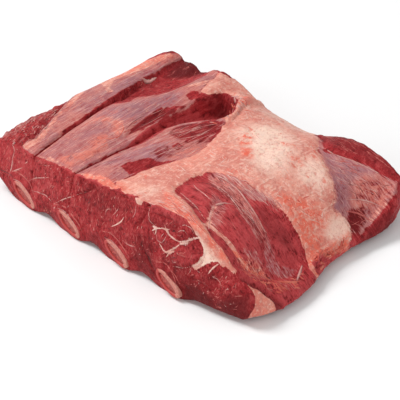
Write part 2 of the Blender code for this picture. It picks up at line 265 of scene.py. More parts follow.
TOP_REGIONS: tuple[Region, ...] = regions(
    # First strip, from the open lean at its left to the slit at its right.
    """
    SKIN 1.2 1: -82,-100 -101,-100 -99,-88 -98,-72 -104,-56 -113,-33 -122,-16 -131,3 -145,30 -145,60
      -124,66 -119,78 -112,92 -107,90 -108,70 -108,60 -107,46 -104,30 -101,12 -97,-8 -93,-32 -90,-53 -85,-70
    FAT 3 0.6: -88,-100 -101,-92 -99,-70 -105,-55 -113,-33 -107,-36 -99,-52 -91,-70
    FAT 3 0.66: -112,-33 -123,-14 -133,4 -127,8 -118,-8 -108,-28
    FAT 2.5 0.85: -131,20 -145,40 -140,66 -122,70 -117,86 -113,84 -114,62 -117,40 -118,26 -110,14 -104,12
      -106,7 -116,12
    WARM 5 0.8: -126,26 -140,40 -138,66 -120,72 -114,92 -110,82 -116,56 -118,34
    WARM 4 0.5: -108,-42 -120,-24 -114,-18 -104,-34
    LILAC 4 0.75: -97,-20 -103,-20 -108,-6 -110,14 -112,30 -112,60 -108,66 -107,46 -104,28 -101,10
    OPEN 1.4 1: -97,-6 -89,-2 -83,1 -79,6 -82,15 -76,20 -71,25 -67,32 -65,41 -65,52 -66,68 -72,90 -84,110
      -110,110 -108,90 -109,75 -108,61 -107,47 -104,47 -102,52 -105,58 -102,44 -104,30 -101,12
    CUT 2 0.8: -100,-2 -80,4 -66,34 -64,60 -70,110 -112,110 -108,46
    DARK 5 0.3: -97,20 -90,22 -92,50 -96,80 -108,96 -108,50 -102,22
    OPEN 2 0.9: -72,86 -60,83 -50,86 -43,93 -50,110 -84,110
    DARK 6 1: -102,62 -88,66 -78,80 -78,110 -112,110 -108,78
    BRIGHT 3 0.4: -78,22 -72,37 -75,56 -88,80 -84,94 -72,95 -67,80 -66,64 -65,52 -66,36 -69,26
    """
    # Second strip, its pale skin streaked with fat, and the thin strip along its right side.
    """
    SKIN 1.6 1: -83,-100 -82,-73 -88,-48 -88,-28 -89,-11 -89,-2 -83,1 -80,8 -81,16 -75,21 -69,28 -65,41
      -65,55 -67,72 -74,96 -64,96 -58,78 -51,60 -46,50 -43,42 -42,20 -41,-8 -38,-24 -35,-38 -37,-60 -38,-84
      -38,-100
    LILAC 6 0.85: -74,-34 -81,-22 -83,-8 -76,6 -68,18 -62,32 -56,40 -50,30 -52,8 -56,-8 -60,-18 -66,-26
    LILAC 5 0.45: -66,-58 -72,-44 -62,-38 -56,-50
    WARM 4 1: -50,-60 -60,-56 -62,-46 -55,-40 -47,-42 -43,-57 -42,-72 -46,-86 -60,-84
    WARM 3 0.8: -84,-40 -84,-28 -78,-22 -70,-20 -60,-20 -50,-28 -46,-38 -52,-44 -56,-33 -68,-30 -76,-34
    FAT 2.5 0.46: -84,-38 -82,-24 -72,-18 -60,-16 -49,-25 -45,-40 -51,-43 -56,-31 -68,-27 -76,-30
    FAT 3 0.6: -80,-100 -80,-86 -68,-83 -52,-86 -42,-84 -40,-100
    FAT 2 0.55: -84,-84 -84,-72 -88,-56 -85,-54 -80,-70 -78,-84
    FAT 3 0.6: -64,46 -62,56 -58,66 -54,72 -50,60 -54,50
    DARK 2.5 0.5: -66,48 -62,60 -58,70 -54,62 -58,50
    DARK 9 0.4: -80,-6 -74,12 -62,34 -50,34 -48,6 -56,-12
    OPEN 1.8 0.9: -43,-30 -48,-22 -53,-4 -53,14 -48,24 -44,30 -44,10 -43,-10
    DARK 2.5 0.75: -43,-34 -48,-25 -52,-6 -52,12 -47,22 -44,20 -44,-10
    OPEN 1.6 0.95: -51,38 -53,46 -48,50 -43,45 -45,37
    OPEN 1.4 1: -33,-42 -39,-24 -42,-8 -44,10 -43,25 -42,39 -41,52 -37,66 -27,68 -19,64 -6,47 -4,37 -7,28
      -12,20 -18,13 -26,7 -30,-4 -28,-18 -27,-36
    BRIGHT 4 1: -36,-44 -42,4 -42,34 -34,50 -8,44 -8,20 -24,8 -28,-20
    DARK 4 0.6: -42,48 -38,62 -30,68 -18,64 -10,54 -22,55 -32,54
    """
    # Third strip.
    """
    SKIN 1.8 0.86: -37,-100 -35,-74 -33,-58 -30,-46 -26,-34 -27,-16 -29,-2 -25,7 -16,14 -10,21 -6,29 -2,36
      3,27 8,13 13,0 17,-10 18,-20 13,-32 8,-38 4,-50 1,-62 -2,-80 0,-100
    OPEN 5 0.66: -24,-4 -14,12 -4,26 2,28 8,14 10,0 2,-10 -14,-14
    LILAC 4 0.7: -28,-72 -29,-57 -22,-42 -18,-26 -8,-18 3,-28 0,-40 -12,-50 -14,-64
    LILAC 4 0.7: -20,-8 -12,10 -2,28 5,16 7,3 0,-4
    WARM 3 0.7: 2,-34 10,-30 16,-18 15,-4 8,-8 4,-20
    OPEN 1.1 1: -13,-65 -12,-58 -8,-49 -5,-43 1,-41 10,-34 11,-32 8,-42 4,-51 1,-60 -2,-67 -7,-66
    DARK 1.5 0.28: -12,-63 -8,-49 -4,-42 9,-34 3,-50 -3,-65
    OPEN 1.4 0.95: -17,18 -15,31 -7,32 -5,22 -10,16
    DARK 4 0.55: -10,5 -9,17 0,25 6,13 4,0 -3,-2
    DARK 6 0.34: -28,-16 -24,4 -14,14 -6,28 4,26 10,6 14,-10 -4,-14
    DARK 3 0.5: -12,-36 -10,-23 1,-20 6,-32 -1,-42
    OPEN 3 0.35: -12,-36 -10,-25 0,-22 4,-32 -2,-40
    OPEN 1.6 0.6: -22,2 -14,12 -8,10 -16,0
    OPEN 1 1: -4,-22 -4,-16 2,-16 2,-22
    FAT 2.5 0.8: -35,-100 -34,-86 -20,-83 -8,-80 4,-84 4,-100
    BRIGHT 2 0.8: -42,-100 -42,-86 -24,-84 -6,-85 8,-86 10,-100
    WARM 3 0.75: -30,-100 -30,-84 -6,-78 8,-80 16,-84 10,-100
    """
    # Fat cover.
    """
    WHITE 10 1: 20,22 18,42 30,58 50,52 62,40 72,20 70,2 56,2 42,10 30,14
    WHITE 7 0.8: 72,46 82,50 94,42 98,30 86,20 72,30
    WHITE 3 0.7: 112,20 114,36 120,40 126,34 126,18 118,12
    WHITE 8 0.45: -2,64 -6,100 48,100 46,76 20,66
    WHITE 5 0.5: 22,-84 26,-70 34,-70 34,-86
    WARM 3 1: 22,20 25,29 31,29 37,19 34,12 27,14
    WARM 3 1: 36,10 41,17 52,6 46,0
    WARM 2.5 0.9: 45,39 52,46 61,46 54,38
    WARM 2.5 0.8: 62,34 70,38 74,33 65,29
    WARM 5 1: 86,-8 94,8 104,20 112,24 118,12 128,2 130,-14 108,-10
    OPEN 3 0.32: 98,-4 102,4 108,4 110,-4 104,-8
    BRIGHT 2.5 0.9: 128,-14 126,0 126,26 128,34 150,34 150,-14
    OPEN 3.5 0.75: 128,-14 127,0 128,22 131,34 150,34 150,-14
    FAT 2.5 0.62: 127,-12 126,0 128,22 131,32 146,34 148,-12
    WARM 3 1: 124,-16 124,34 150,34 150,-16
    WARM 3 1: -26,66 -20,74 -8,68 -12,56
    WARM 8 0.35: 8,-40 18,-20 16,6 30,2 32,-24 24,-44
    WARM 3 1: 40,-70 60,-75 84,-80 108,-87 124,-84 110,-90 50,-86
    """
    # Fan of thin muscles on the near right.
    """
    ACROSS 4 1: 36,-30 34,-92 150,-92 150,-14 70,-14 46,-22
    ACROSS 4 1: 40,110 50,80 66,60 84,46 150,20 150,110
    SKIN 2 0.56: 40,-30 51,-24 70,-25 87,-30 104,-34 114,-36 122,-38 126,-22 131,-30 131,-42 124,-52
      111,-47 98,-46 83,-43 69,-42 54,-40
    OPEN 5 0.22: 104,-36 110,-24 126,-18 134,-30 133,-44 124,-53 108,-48
    SKIN 2.5 0.7: 42,-32 46,-26 62,-20 78,-16 90,-12 86,-20 80,-27 60,-28
    DARK 3 0.6: 46,-36 60,-34 84,-38 112,-42 112,-45 84,-42 60,-40
    WARM 5 0.45: 40,-34 52,-22 76,-18 96,-30 108,-38 84,-44 56,-42
    BRIGHT 1.2 1: 42,-65 49,-63 61,-65 71,-68 78,-71 74,-76 64,-75 53,-71
    BRIGHT 2 0.55: 96,-77 104,-74 117,-69 121,-78 114,-84 104,-84
    BRIGHT 3 0.65: 38,-32 37,-44 39,-57 42,-65 70,-75 96,-83 118,-82 132,-52 133,-28 122,-13 100,-12
      77,-17 50,-26
    BRIGHT 3 0.8: 80,-57 82,-48 98,-49 122,-50 116,-62 96,-64
    SKIN 4 0.5: 84,-73 78,-66 68,-54 60,-46 74,-44 82,-50 90,-62 92,-72
    SKIN 3 0.42: 108,-66 112,-52 128,-50 130,-56 122,-66
    FAT 1.4 0.85: 82,-76 86,-72 97,-70 106,-68 115,-68 121,-65 120,-69 113,-72 104,-73 95,-74
    FAT 1.6 0.56: 86,-76 80,-70 76,-63 71,-54 76,-52 79,-60 84,-68 90,-72
    FAT 2 0.5: 110,-72 114,-64 120,-56 125,-52 126,-61 121,-71 116,-76
    WARM 2 1: 106,-76 112,-64 120,-54 127,-50 128,-62 121,-74 114,-80
    DARK 1.8 0.36: 85,-27 93,-22 103,-18 111,-17 118,-18 114,-26 108,-32 101,-33
    BRIGHT 2 0.5: 94,-27 104,-24 113,-25 108,-30 100,-31
    LILAC 4 0.34: 112,-48 114,-35 118,-22 126,-20 131,-29 130,-41 125,-51
    BRIGHT 3 0.7: 117,-79 118,-66 123,-57 129,-50 132,-36 130,-24 136,-12 150,-12 150,-70 138,-66 128,-74
      122,-80
    WARM 4 0.9: 112,-72 118,-60 126,-50 134,-30 140,-40 140,-58 126,-74
    FAT 3 0.3: 112,-70 117,-60 124,-52 130,-46 127,-60 119,-72
    DARK 1.4 0.8: 119,-84 123,-78 129,-71 137,-62 142,-56 144,-62 134,-70 126,-82
    FAT 0.9 1: 127,-78 134,-69 141,-63 147,-64 148,-80 138,-84
    WARM 2 0.5: 126,-78 134,-68 143,-61 150,-76 138,-84
    """
    # Flap at the far right, with the lean rim behind it.
    """
    SKIN 2.5 0.76: 48,84 64,62 82,50 95,44 106,34 112,28 124,34 130,44 127,60 126,84 121,88 113,84 98,79
      84,72 71,63
    LILAC 4 0.75: 60,66 80,54 95,47 106,38 109,26 114,34 112,46 105,50 101,62 101,74 112,86 122,90 112,84
      98,79 84,72 70,64
    OPEN 4 0.38: 113,38 114,52 119,54 124,45 126,34 119,33
    FAT 3 0.5: 119,60 120,71 127,80 130,70 127,56 125,46
    DARK 4 0.4: 100,42 108,28 111,18 116,22 112,40 106,52 96,66 90,60
    WARM 5 0.6: 104,56 103,72 112,84 122,86 125,66 118,52 111,48
    OPEN 6 0.35: 104,56 103,72 112,82 121,82 122,66 116,54
    DARK 2 0.75: 113,44 115,57 123,54 128,37 120,38
    OPEN 1.6 1: 44,80 58,76 71,63 84,73 98,80 113,85 124,90 124,110 40,110
    CUT 1.6 0.6: 44,80 58,76 71,63 84,73 98,80 113,85 124,90 124,110 40,110
    DARK 4 0.5: 44,84 66,74 82,77 95,82 107,86 124,92 124,110 40,110
    DARK 2 0.6: 135,84 127,66 127,50 132,34 150,30 150,90
    OPEN 1.6 1: 126,94 126,66 127,48 131,36 150,30 150,94
    """
    # Open lean at the left end, with its membrane.
    """
    CUT 1.5 1: -96,-100 -98,-72 -104,-56 -113,-33 -122,-16 -131,3 -150,3 -150,-100
    DARK 3 0.4: -97,-86 -95,-72 -101,-54 -113,-33 -120,-40 -108,-60 -104,-84
    SKIN 2 0.16: -150,-100 -96,-100 -98,-72 -104,-56 -113,-33 -122,-16 -131,3 -150,3
    SKIN 3 0.4: -150,-90 -150,-16 -128,-20 -118,-44 -120,-62 -116,-76 -112,-92
    FAT 4 0.3: -150,-90 -150,-16 -130,-20 -122,-44 -124,-62 -118,-76 -114,-92
    FAT 3 0.26: -112,-90 -108,-60 -118,-40 -124,-24 -117,-30 -104,-56 -100,-86
    """
)

# Most dark rows are painted shade: in the face's creases, between the ribs at its foot and in its lower right
# corner; the faint ones on raised muscles are darker lean.
FACE_REGIONS: tuple[Region, ...] = regions(
    """
    CUT 2 1: -160,-20 -160,90 160,90 160,-20
    FAT 1.1 1: 46,68 56,69 68,70 76,67 83,61 87,55 91,51 93,46 93,41 97,37 101,40 106,41 112,40 120,38
      126,44 110,90 40,90
    FAT 1.4 0.9: 26,80 28,62 31,56 35,58 38,64 40,80
    FAT 1 0.95: 94,44 92,40 89,34 85,31 89,29 94,33 98,38
    WHITE 3 1: 82,58 90,57 96,50 102,44 110,42 104,37 92,32 86,30 92,42
    WHITE 3 0.4: 27,66 29,56 36,56 37,66
    WARM 2.5 0.9: 60,70 76,66 86,60 94,54 102,48 112,43 124,40 122,64 80,76
    BRIGHT 1.4 0.9: 44,64 54,67 66,68 76,62 74,57 66,62 56,63 46,60
    BRIGHT 12 0.4: -118,24 -118,50 -60,50 -50,20 -84,14
    BRIGHT 1.2 0.8: -50,49 -28,54 0,58 24,59 26,70 -50,60
    BRIGHT 3 0.7: -127,50 -122,30 -120,10 -140,10 -140,50
    DARK 6 0.6: 30,12 36,34 46,34 54,22 58,8 44,4
    DARK 5 0.95: 80,0 80,16 92,20 108,14 112,0
    DARK 3 0.18: 40,52 46,60 58,64 70,62 73,57 66,52 54,50 44,46
    DARK 2 0.15: 70,53 74,57 80,59 83,54 78,50
    BRIGHT 3 0.4: 70,34 78,45 86,49 93,43 88,33 78,28
    DARK 3 0.55: 66,12 68,22 80,24 92,22 98,12 88,4 70,4
    DARK 3 0.35: 94,30 97,35 104,36 108,30 102,22 92,24
    DARK 7 0.32: -26,34 -30,52 -8,56 20,56 24,44 0,30
    DARK 6 0.85: 106,0 106,12 120,22 132,24 140,10 134,0
    DARK 4 0.4: 60,20 60,30 76,30 90,24 90,16 74,18
    DARK 4 0.5: -64,4 -60,16 -54,10 -54,2
    DARK 4 0.5: -16,2 -12,14 -2,12 -4,2
    """
)


@dataclass(frozen=True)
class SlabForm:
    """The slab's form: where its four edges, its top, its underside and its ribs run."""

    near_y: float = -97.0
    far_y: float = 95.0
    lean_back: float = 8.0
    near_knots: Numbers = (-131.0, -100.0, 60.0, 90.0, 112.0, 131.0)
    near_edge: Numbers = (-96.0, -97.0, -97.0, -94.5, -91.0, -86.0)
    side_knots: Numbers = (-97.0, -90.0, -78.0, -62.0, -42.0, -22.0, 4.0, 36.0, 74.0, 95.0)
    left_edge: Numbers = (-128.0, -130.0, -131.0, -131.0, -130.5, -130.0, -130.0, -130.5, -129.0, -121.0)
    right_edge: Numbers = (121.0, 131.0, 138.5, 142.5, 143.0, 139.5, 131.0, 129.5, 131.0, 123.0)
    far_knots: Numbers = (-131.0, -110.0, -80.0, -45.0, -5.0, 25.0, 45.0, 64.0, 95.0, 131.0)
    far_edge: Numbers = (90.0, 95.0, 90.0, 93.0, 89.0, 90.0, 91.0, 94.5, 97.0, 94.0)
    net_x: Numbers = (-126.0, -86.0, -46.0, -6.0, 34.0, 74.0, 104.0, 126.0, 143.0)
    net_y: Numbers = (-92.5, -58.0, -18.0, 22.0, 62.0, 94.0)
    net_z: tuple[Numbers, ...] = (
        (39.0, 43.0, 48.0, 54.0, 60.0, 64.0, 57.0, 37.0, 20.0),
        (42.0, 46.0, 50.0, 55.0, 60.0, 62.0, 50.0, 27.0, 12.0),
        (42.0, 48.0, 51.0, 56.0, 60.0, 58.0, 43.0, 18.0, 10.0),
        (40.0, 48.0, 52.0, 57.0, 59.0, 54.0, 38.0, 15.0, 12.0),
        (39.0, 47.0, 52.0, 53.0, 51.0, 49.0, 38.0, 18.0, 14.0),
        (45.0, 43.0, 46.0, 34.0, 33.0, 46.0, 43.0, 37.0, 33.0),
    )
    slit_y: Numbers = (-92.5, -60.0, -30.0, 0.0, 16.0, 30.0, 44.0, 60.0, 98.0)
    slit_a: tuple[Numbers, ...] = (
        (-82.0, -87.6, -91.6, -97.0, -101.0, -104.0, -106.5, -108.5, -110.0),
        (-81.0, -86.0, -89.8, -95.0, -98.5, -101.0, -103.0, -104.0, -105.0),
        (-80.0, -84.6, -88.0, -91.0, -85.0, -76.0, -71.0, -70.0, -78.0),
    )
    slit_a_depth: Numbers = (6.5, 9.0, 9.0, 7.5, 6.5, 6.0, 6.0, 5.5, 2.5)
    slit_b: tuple[Numbers, ...] = (
        (-38.2, -36.3, -35.6, -41.8, -44.0, -43.5, -42.0, -38.5, -36.0),
        (-37.2, -34.8, -33.4, -37.0, -37.5, -36.0, -33.0, -30.0, -28.0),
        (-36.2, -33.4, -30.0, -29.0, -20.0, -8.0, -6.0, -19.0, -20.0),
    )
    slit_b_depth: Numbers = (6.0, 8.0, 8.0, 9.0, 10.5, 13.5, 17.5, 17.5, 0.0)
    slit_b_end: tuple[float, float] = (61.0, 67.0)
    strip_crown: Numbers = (4.0, 4.0, 3.0)
    third_edge: Numbers = (-4.0, 0.0, 4.0, 10.0, 8.0, 5.0, 0.0, -8.0, -12.0)
    seam_x: float = 98.0
    seam_half_width: float = 26.0
    seam_depth: float = 16.0
    seam_run: float = 10.0
    channel_rise: float = 4.5
    channel_wall: tuple[float, float] = (7.0, 26.0)
    left_lift: float = 9.0
    left_lift_run: float = 24.0
    first_rib_x: float = -88.0
    rib_pitch: float = 52.0
    rib_count: int = 4
    rib_z: float = 9.6
    rib_width: float = 27.0
    rib_thickness: float = 11.5
    rib_tilt: float = math.radians(-25.0)
    lumps: Unevenness = Unevenness(11)
    fibres: Unevenness = Unevenness(23)

    def near(self, x: Array) -> Array:
        """Foot of the near face at each x."""
        return along(self.near_knots, self.near_edge, x)

    def far(self, x: Array) -> Array:
        """Widest line of the far face at each x."""
        return along(self.far_knots, self.far_edge, x)

    def lanes(self, y: Array) -> Array:
        """Lines that the mesh follows across the slab.

        Args:
            y: positions along the ribs.

        Returns:
            Nine rows of x, from the left end to the right end.
        """
        lines = [along(self.side_knots, self.left_edge, y)]
        for slit in (self.slit_a, self.slit_b):
            lines += [along(self.slit_y, route, y) for route in slit]
        lines += [along(self.slit_y, self.third_edge, y), along(self.side_knots, self.right_edge, y)]
        return np.stack(lines)

    @staticmethod
    def valley(x: Array, left: Array, floor: Array, right: Array) -> Array:
        """A slit's cross-section: 0 outside its lips and 1 on its floor, with steep walls."""
        shallow = np.minimum((x - left) / (floor - left), (right - x) / (right - floor))
        return 1 - (1 - np.clip(shallow, 0, 1)) ** 2.2

    def inside_slits(self, x: Array, y: Array) -> Array:
        """How deep in a narrow slit each place lies.

        Args:
            x: positions across the ribs.
            y: positions along them.

        Returns:
            0 at the lips and beyond, and 1 on the floor.
        """
        _, a_left, a_floor, a_right, b_left, b_floor, b_right, _, _ = self.lanes(y)
        first = self.valley(x, a_left, a_floor, a_right) * smooth_step(6.0, -6.0, y)
        second = self.valley(x, b_left, b_floor, b_right) * smooth_step(-22.0, -34.0, y)
        return np.maximum(first, second)

    @staticmethod
    def crown(x: Array, left: Array, right: Array) -> Array:
        """A rounded back between two lines: 0 at both and 1 in the middle."""
        share = np.clip((x - left) / (right - left), 0, 1)
        return 4 * share * (1 - share)

    def net(self, x: Array, y: Array) -> Array:
        """The top without strips or slits."""
        along_y, along_x = curve_weights(self.net_y, y), curve_weights(self.net_x, x)
        return np.einsum("nj,ni,ji->n", along_y, along_x, np.array(self.net_z))

    def top(self, x: Array, y: Array) -> Array:
        """The top with its strips, slits, muscles and fibres.

        Args:
            x: positions across the ribs.
            y: positions along them.

        Returns:
            The height at each position.
        """
        edge, a_left, a_floor, a_right, b_left, b_floor, b_right, third, _ = self.lanes(y)
        inland = smooth_step(self.near_y, self.near_y + 20, y)
        inland = inland * smooth_step(self.far_y + 4, self.far_y - 20, y)
        sides = ((edge, a_left), (a_right, b_left), (b_right, third))
        strips = sum(rise * self.crown(x, *pair) for rise, pair in zip(self.strip_crown, sides))
        first = along(self.slit_y, self.slit_a_depth, y) * self.valley(x, a_left, a_floor, a_right)
        second = (1 - smooth_step(*self.slit_b_end, y)) * along(self.slit_y, self.slit_b_depth, y)
        slits = first + second * self.valley(x, b_left, b_floor, b_right)
        muscles = self.relief(MUSCLES, GROOVES, x, y)
        return self.net(x, y) + inland * strips - slits + muscles + self.fibre_relief(x, y)

    @staticmethod
    def relief(raised: Relief, sunk: Relief, across: Array, up: Array) -> Array:
        """Relief of muscles and grooves.

        Args:
            raised: outlines with their rise and the width of their shoulder.
            sunk: lines with their depth and half width.
            across: first coordinate of each place.
            up: second coordinate of each place.

        Returns:
            How far the surface rises or sinks at each place.
        """
        total = np.zeros(across.shape)
        for points, (rise, shoulder) in raised:
            total += rise * smooth_step(0.0, shoulder, Outline(points).reach(across, up))
        for points, (depth, half_width) in sunk:
            total -= depth * smooth_step(half_width, 0.0, line_distance(points, across, up))
        return total

    def fibre_relief(self, x: Array, y: Array) -> Array:
        """Fine ridges along the strips and lumps elsewhere.

        Args:
            x: positions across the ribs.
            y: positions along them.

        Returns:
            How far the top rises or sinks at each position.
        """
        across = x + 0.11 * y
        strips = smooth_step(18.0, 6.0, x)
        ridged = self.fibres.at(on_level(across / 2.6, y / 24), 1.0)
        ridged = ridged + 0.6 * self.fibres.at(on_level(across / 1.3, y / 15, 5.0), 1.0)
        lumps = self.lumps.layered(on_level(x, y), 13.0)
        crags = self.lumps.layered(on_level(x, y, 50.0), 6.0)
        rough = np.zeros(x.shape)
        for points, (height,) in CRAGGY:
            rough = np.maximum(rough, height * smooth_step(0.0, 4.0, Outline(points).reach(x, y)))
        return 0.32 * strips * ridged + (0.35 + 0.35 * (1 - strips)) * lumps + rough * crags

    def under(self, x: Array, y: Array) -> Array:
        """Height of the underside.

        Args:
            x: positions across the ribs.
            y: positions along them.

        Returns:
            0 along each rib, more between the ribs and at the left end.
        """
        between = np.min(np.abs(self.from_ribs(x)), axis=1)
        rough = 0.5 + 0.5 * self.lumps.layered(on_level(x, y, 90.0), 9.0)
        left = self.left_edge[0]
        lift = (self.channel_rise + rough) * smooth_step(*self.channel_wall, between)
        return lift + self.left_lift * smooth_step(left + self.left_lift_run, left, x)

    def from_ribs(self, x: Array) -> Array:
        """Distance across from each rib's centre line: a row for each x, a column for each rib."""
        return x[:, None] - (self.first_rib_x + self.rib_pitch * np.arange(self.rib_count))[None, :]

    def off_rib(self, x: Array, z: Array) -> Array:
        """How far out from the nearest rib each place on a cut face lies.

        Args:
            x: positions across the ribs.
            z: heights.

        Returns:
            0 on a rib's centre line and 1 on its outline.
        """
        dx, dz = self.from_ribs(x), (z - self.rib_z)[:, None]
        turn, lean = math.cos(self.rib_tilt), math.sin(self.rib_tilt)
        wide = (dx * turn + dz * lean) / (self.rib_width / 2)
        high = (dz * turn - dx * lean) / (self.rib_thickness / 2)
        return np.min(np.hypot(wide, high), axis=1)

    def seam(self, x: Array, y: Array, reach: Array) -> Array:
        """Depth of the fat seam that shows on the near face.

        Args:
            x: positions across the ribs.
            y: positions along them.
            reach: distance inside the fat cover's outline.

        Returns:
            The seam's depth below the top at each position.
        """
        edge = self.near(x) + self.lean_back
        aside = np.abs(x - self.seam_x) / self.seam_half_width
        share = smooth_step(1.0, 0.3, aside) * smooth_step(0.0, 4.0, reach)
        return self.seam_depth * share * smooth_step(edge + self.seam_run, edge, y)


CRAGGY: Relief = relief_table(
    # Points in plan and height of the crags.
    """
    1.5: 112,-84 116,-66 124,-54 131,-46 132,-12 150,-12 150,-84
    2.3: -150,-110 -97,-110 -95,-72 -101,-54 -113,-33 -122,-16 -131,3 -150,3
    1.3: -112,70 -60,70 -46,84 -46,110 -112,110
    0.8: -98,0 -84,4 -68,30 -66,60 -72,110 -110,110 -108,50
    2.6: 124,-16 124,20 128,34 150,34 150,-16
    0.8: 44,84 58,77 71,64 84,74 98,81 124,91 124,110 40,110
    2.2: -50,-110 -50,-86 -10,-82 24,-78 36,-110
    0.9: -150,-110 -150,-87 -50,-87 -50,-110
    0.5: 18,6 40,-10 90,-6 124,-8 124,30 90,44 50,60 10,84 -20,84 -4,40
    """
)

MUSCLES: Relief = relief_table(
    # Points in plan, rise and width of the shoulder.
    """
    -2.2 3: -111,-88 -97,-96 -98,-72 -104,-56 -113,-33 -122,-16 -131,3 -150,3 -150,-110 -100,-110
    1.5 4: 39,-53 42,-43 50,-39 59,-40 69,-42 72,-54 78,-64 88,-77 77,-70 63,-63 51,-59
    1.7 4: 80,-60 79,-48 88,-46 96,-47 112,-48 125,-50 123,-57 118,-64 103,-65 86,-66
    1.3 3: 96,-77 106,-74 117,-70 119,-79 115,-83 104,-84
    1 2: 44,-65 61,-65 76,-69 74,-75 64,-74 54,-70
    -1.2 3: 85,-26 103,-20 117,-19 114,-25 109,-30 102,-32
    -2.6 4: 38,-32 37,-44 39,-57 42,-65 70,-75 96,-83 118,-82 132,-52 133,-28 122,-13 100,-12 77,-17
      50,-26
    1.8 3: 44,84 58,77 71,64 84,74 98,81 113,86 124,91 124,110 40,110
    -1.2 5: 60,68 80,54 104,40 113,36 126,38 128,60 122,86 98,78 71,62
    0.7 4: -50,-60 -60,-56 -60,-44 -46,-42 -43,-57 -42,-84 -60,-84
    -1.3 1.6: -13,-65 -7,-49 -5,-43 10,-34 8,-42 1,-60 -7,-66
    -1 2: -51,38 -53,46 -47,50 -44,44
    -0.8 2: -12,11 -9,24 -5,30 -3,21 -7,12
    3.6 12: -107,66 -84,72 -76,110 -107,110
    3.2 9: -76,76 -52,78 -50,110 -76,110
    1.4 4: -34,68 -14,70 -14,80 -34,80
    """
)

GROOVES: Relief = relief_table(
    # Points in plan, depth and half width.
    """
    1.8 1.5: -42,-60 -43,-46 -44,-37 -46,-26 -49,-8
    2.4 3: -49,-8 -50,4 -49,16
    1.2 1.8: -45,-30 -51,-14 -56,4 -56,18
    3.6 2.6: 119,-84 123,-79 128,-72 133,-67 137,-62 143,-56
    1.8 2.4: -77,24 -74,40 -78,60 -86,84
    1.4 2: 63,-19 84,-15 103,-12 119,-12 128,-19
    1.4 2.2: -107,-84 -102,-60 -112,-40 -122,-22
    1 1.8: 88,-76 78,-64 72,-54 76,-46
    """
)

FACE_MUSCLES: Relief = relief_table(
    # Points across and up the near face, rise and width of the shoulder.
    """
    1.6 3: 40,55 49,62 62,67 71,65 74,59 67,52 55,50 44,47
    1.8 2.6: 68,53 73,58 79,60 83,58 84,53 78,49 72,49
    1.3 2.6: 54,40 55,47 63,47 73,44 66,36 60,36
    2.1 3: 72,38 78,45 85,50 91,48 94,42 89,33 80,27 70,27 67,32
    1.6 3: 94,30 98,37 105,37 109,31 104,20 92,22
    1 3: 64,12 64,24 77,26 88,27 92,16 78,10
    1 2: -24,56 -24,46 -12,50 -9,57
    0.8 5: -60,20 -52,34 -30,40 -20,30 -30,18
    0.8 5: 0,22 6,40 26,48 34,34 26,18
    1 4: 108,10 112,30 124,34 130,16
    """
)

FACE_GROOVES: Relief = relief_table(
    # Points across and up the near face, depth and half width.
    """
    1.5 1.5: -28,57 -28,51 -27,46
    1.7 1.6: -9,59 -16,47 -22,42 -30,36
    2.2 1.8: 44,65 41,56 37,47 33,40
    2 2.2: 37,32 39,27 46,20 52,14 58,8
    1.2 1.6: 62,24 74,24 92,22
    0.8 1.4: 76,46 70,50 66,52
    """
)


@dataclass(frozen=True)
class Density:
    """Cells of a slab mesh: in each lane across the ribs, along them and up the walls."""

    lanes: tuple[int, ...] = (30, 4, 10, 32, 6, 12, 26, 108)
    rows: int = 146
    levels: int = 32
    fat_levels: int = 6


def finished(name: str, mesh: bmesh.types.BMesh, finish: bpy.types.Material) -> bpy.types.Object:
    """A bmesh as a smooth object at the part's origin.

    Args:
        name: the piece's name.
        mesh: its mesh in drawing millimetres, which is freed.
        finish: its material.

    Returns:
        The object.
    """
    bmesh.ops.recalc_face_normals(mesh, faces=mesh.faces[:])
    data = bpy.data.meshes.new(name)
    mesh.to_mesh(data)
    mesh.free()
    places = np.empty(len(data.vertices) * 3)
    data.vertices.foreach_get("co", places)
    places = (places.reshape(-1, 3) - (*ORIGIN, 0.0)) * MM
    data.vertices.foreach_set("co", places.ravel())
    data.update()
    data.shade_smooth()
    data.materials.append(finish)
    made = bpy.data.objects.new(name, data)
    bpy.context.scene.collection.objects.link(made)
    return made


def keep_vector(data: bpy.types.Mesh, name: str, values: Array) -> None:
    """Stores a named vector for each vertex, for the finish to read."""
    made = data.attributes.new(name, "FLOAT_VECTOR", "POINT")
    made.data.foreach_set("vector", np.ascontiguousarray(values, dtype=np.float32).ravel())


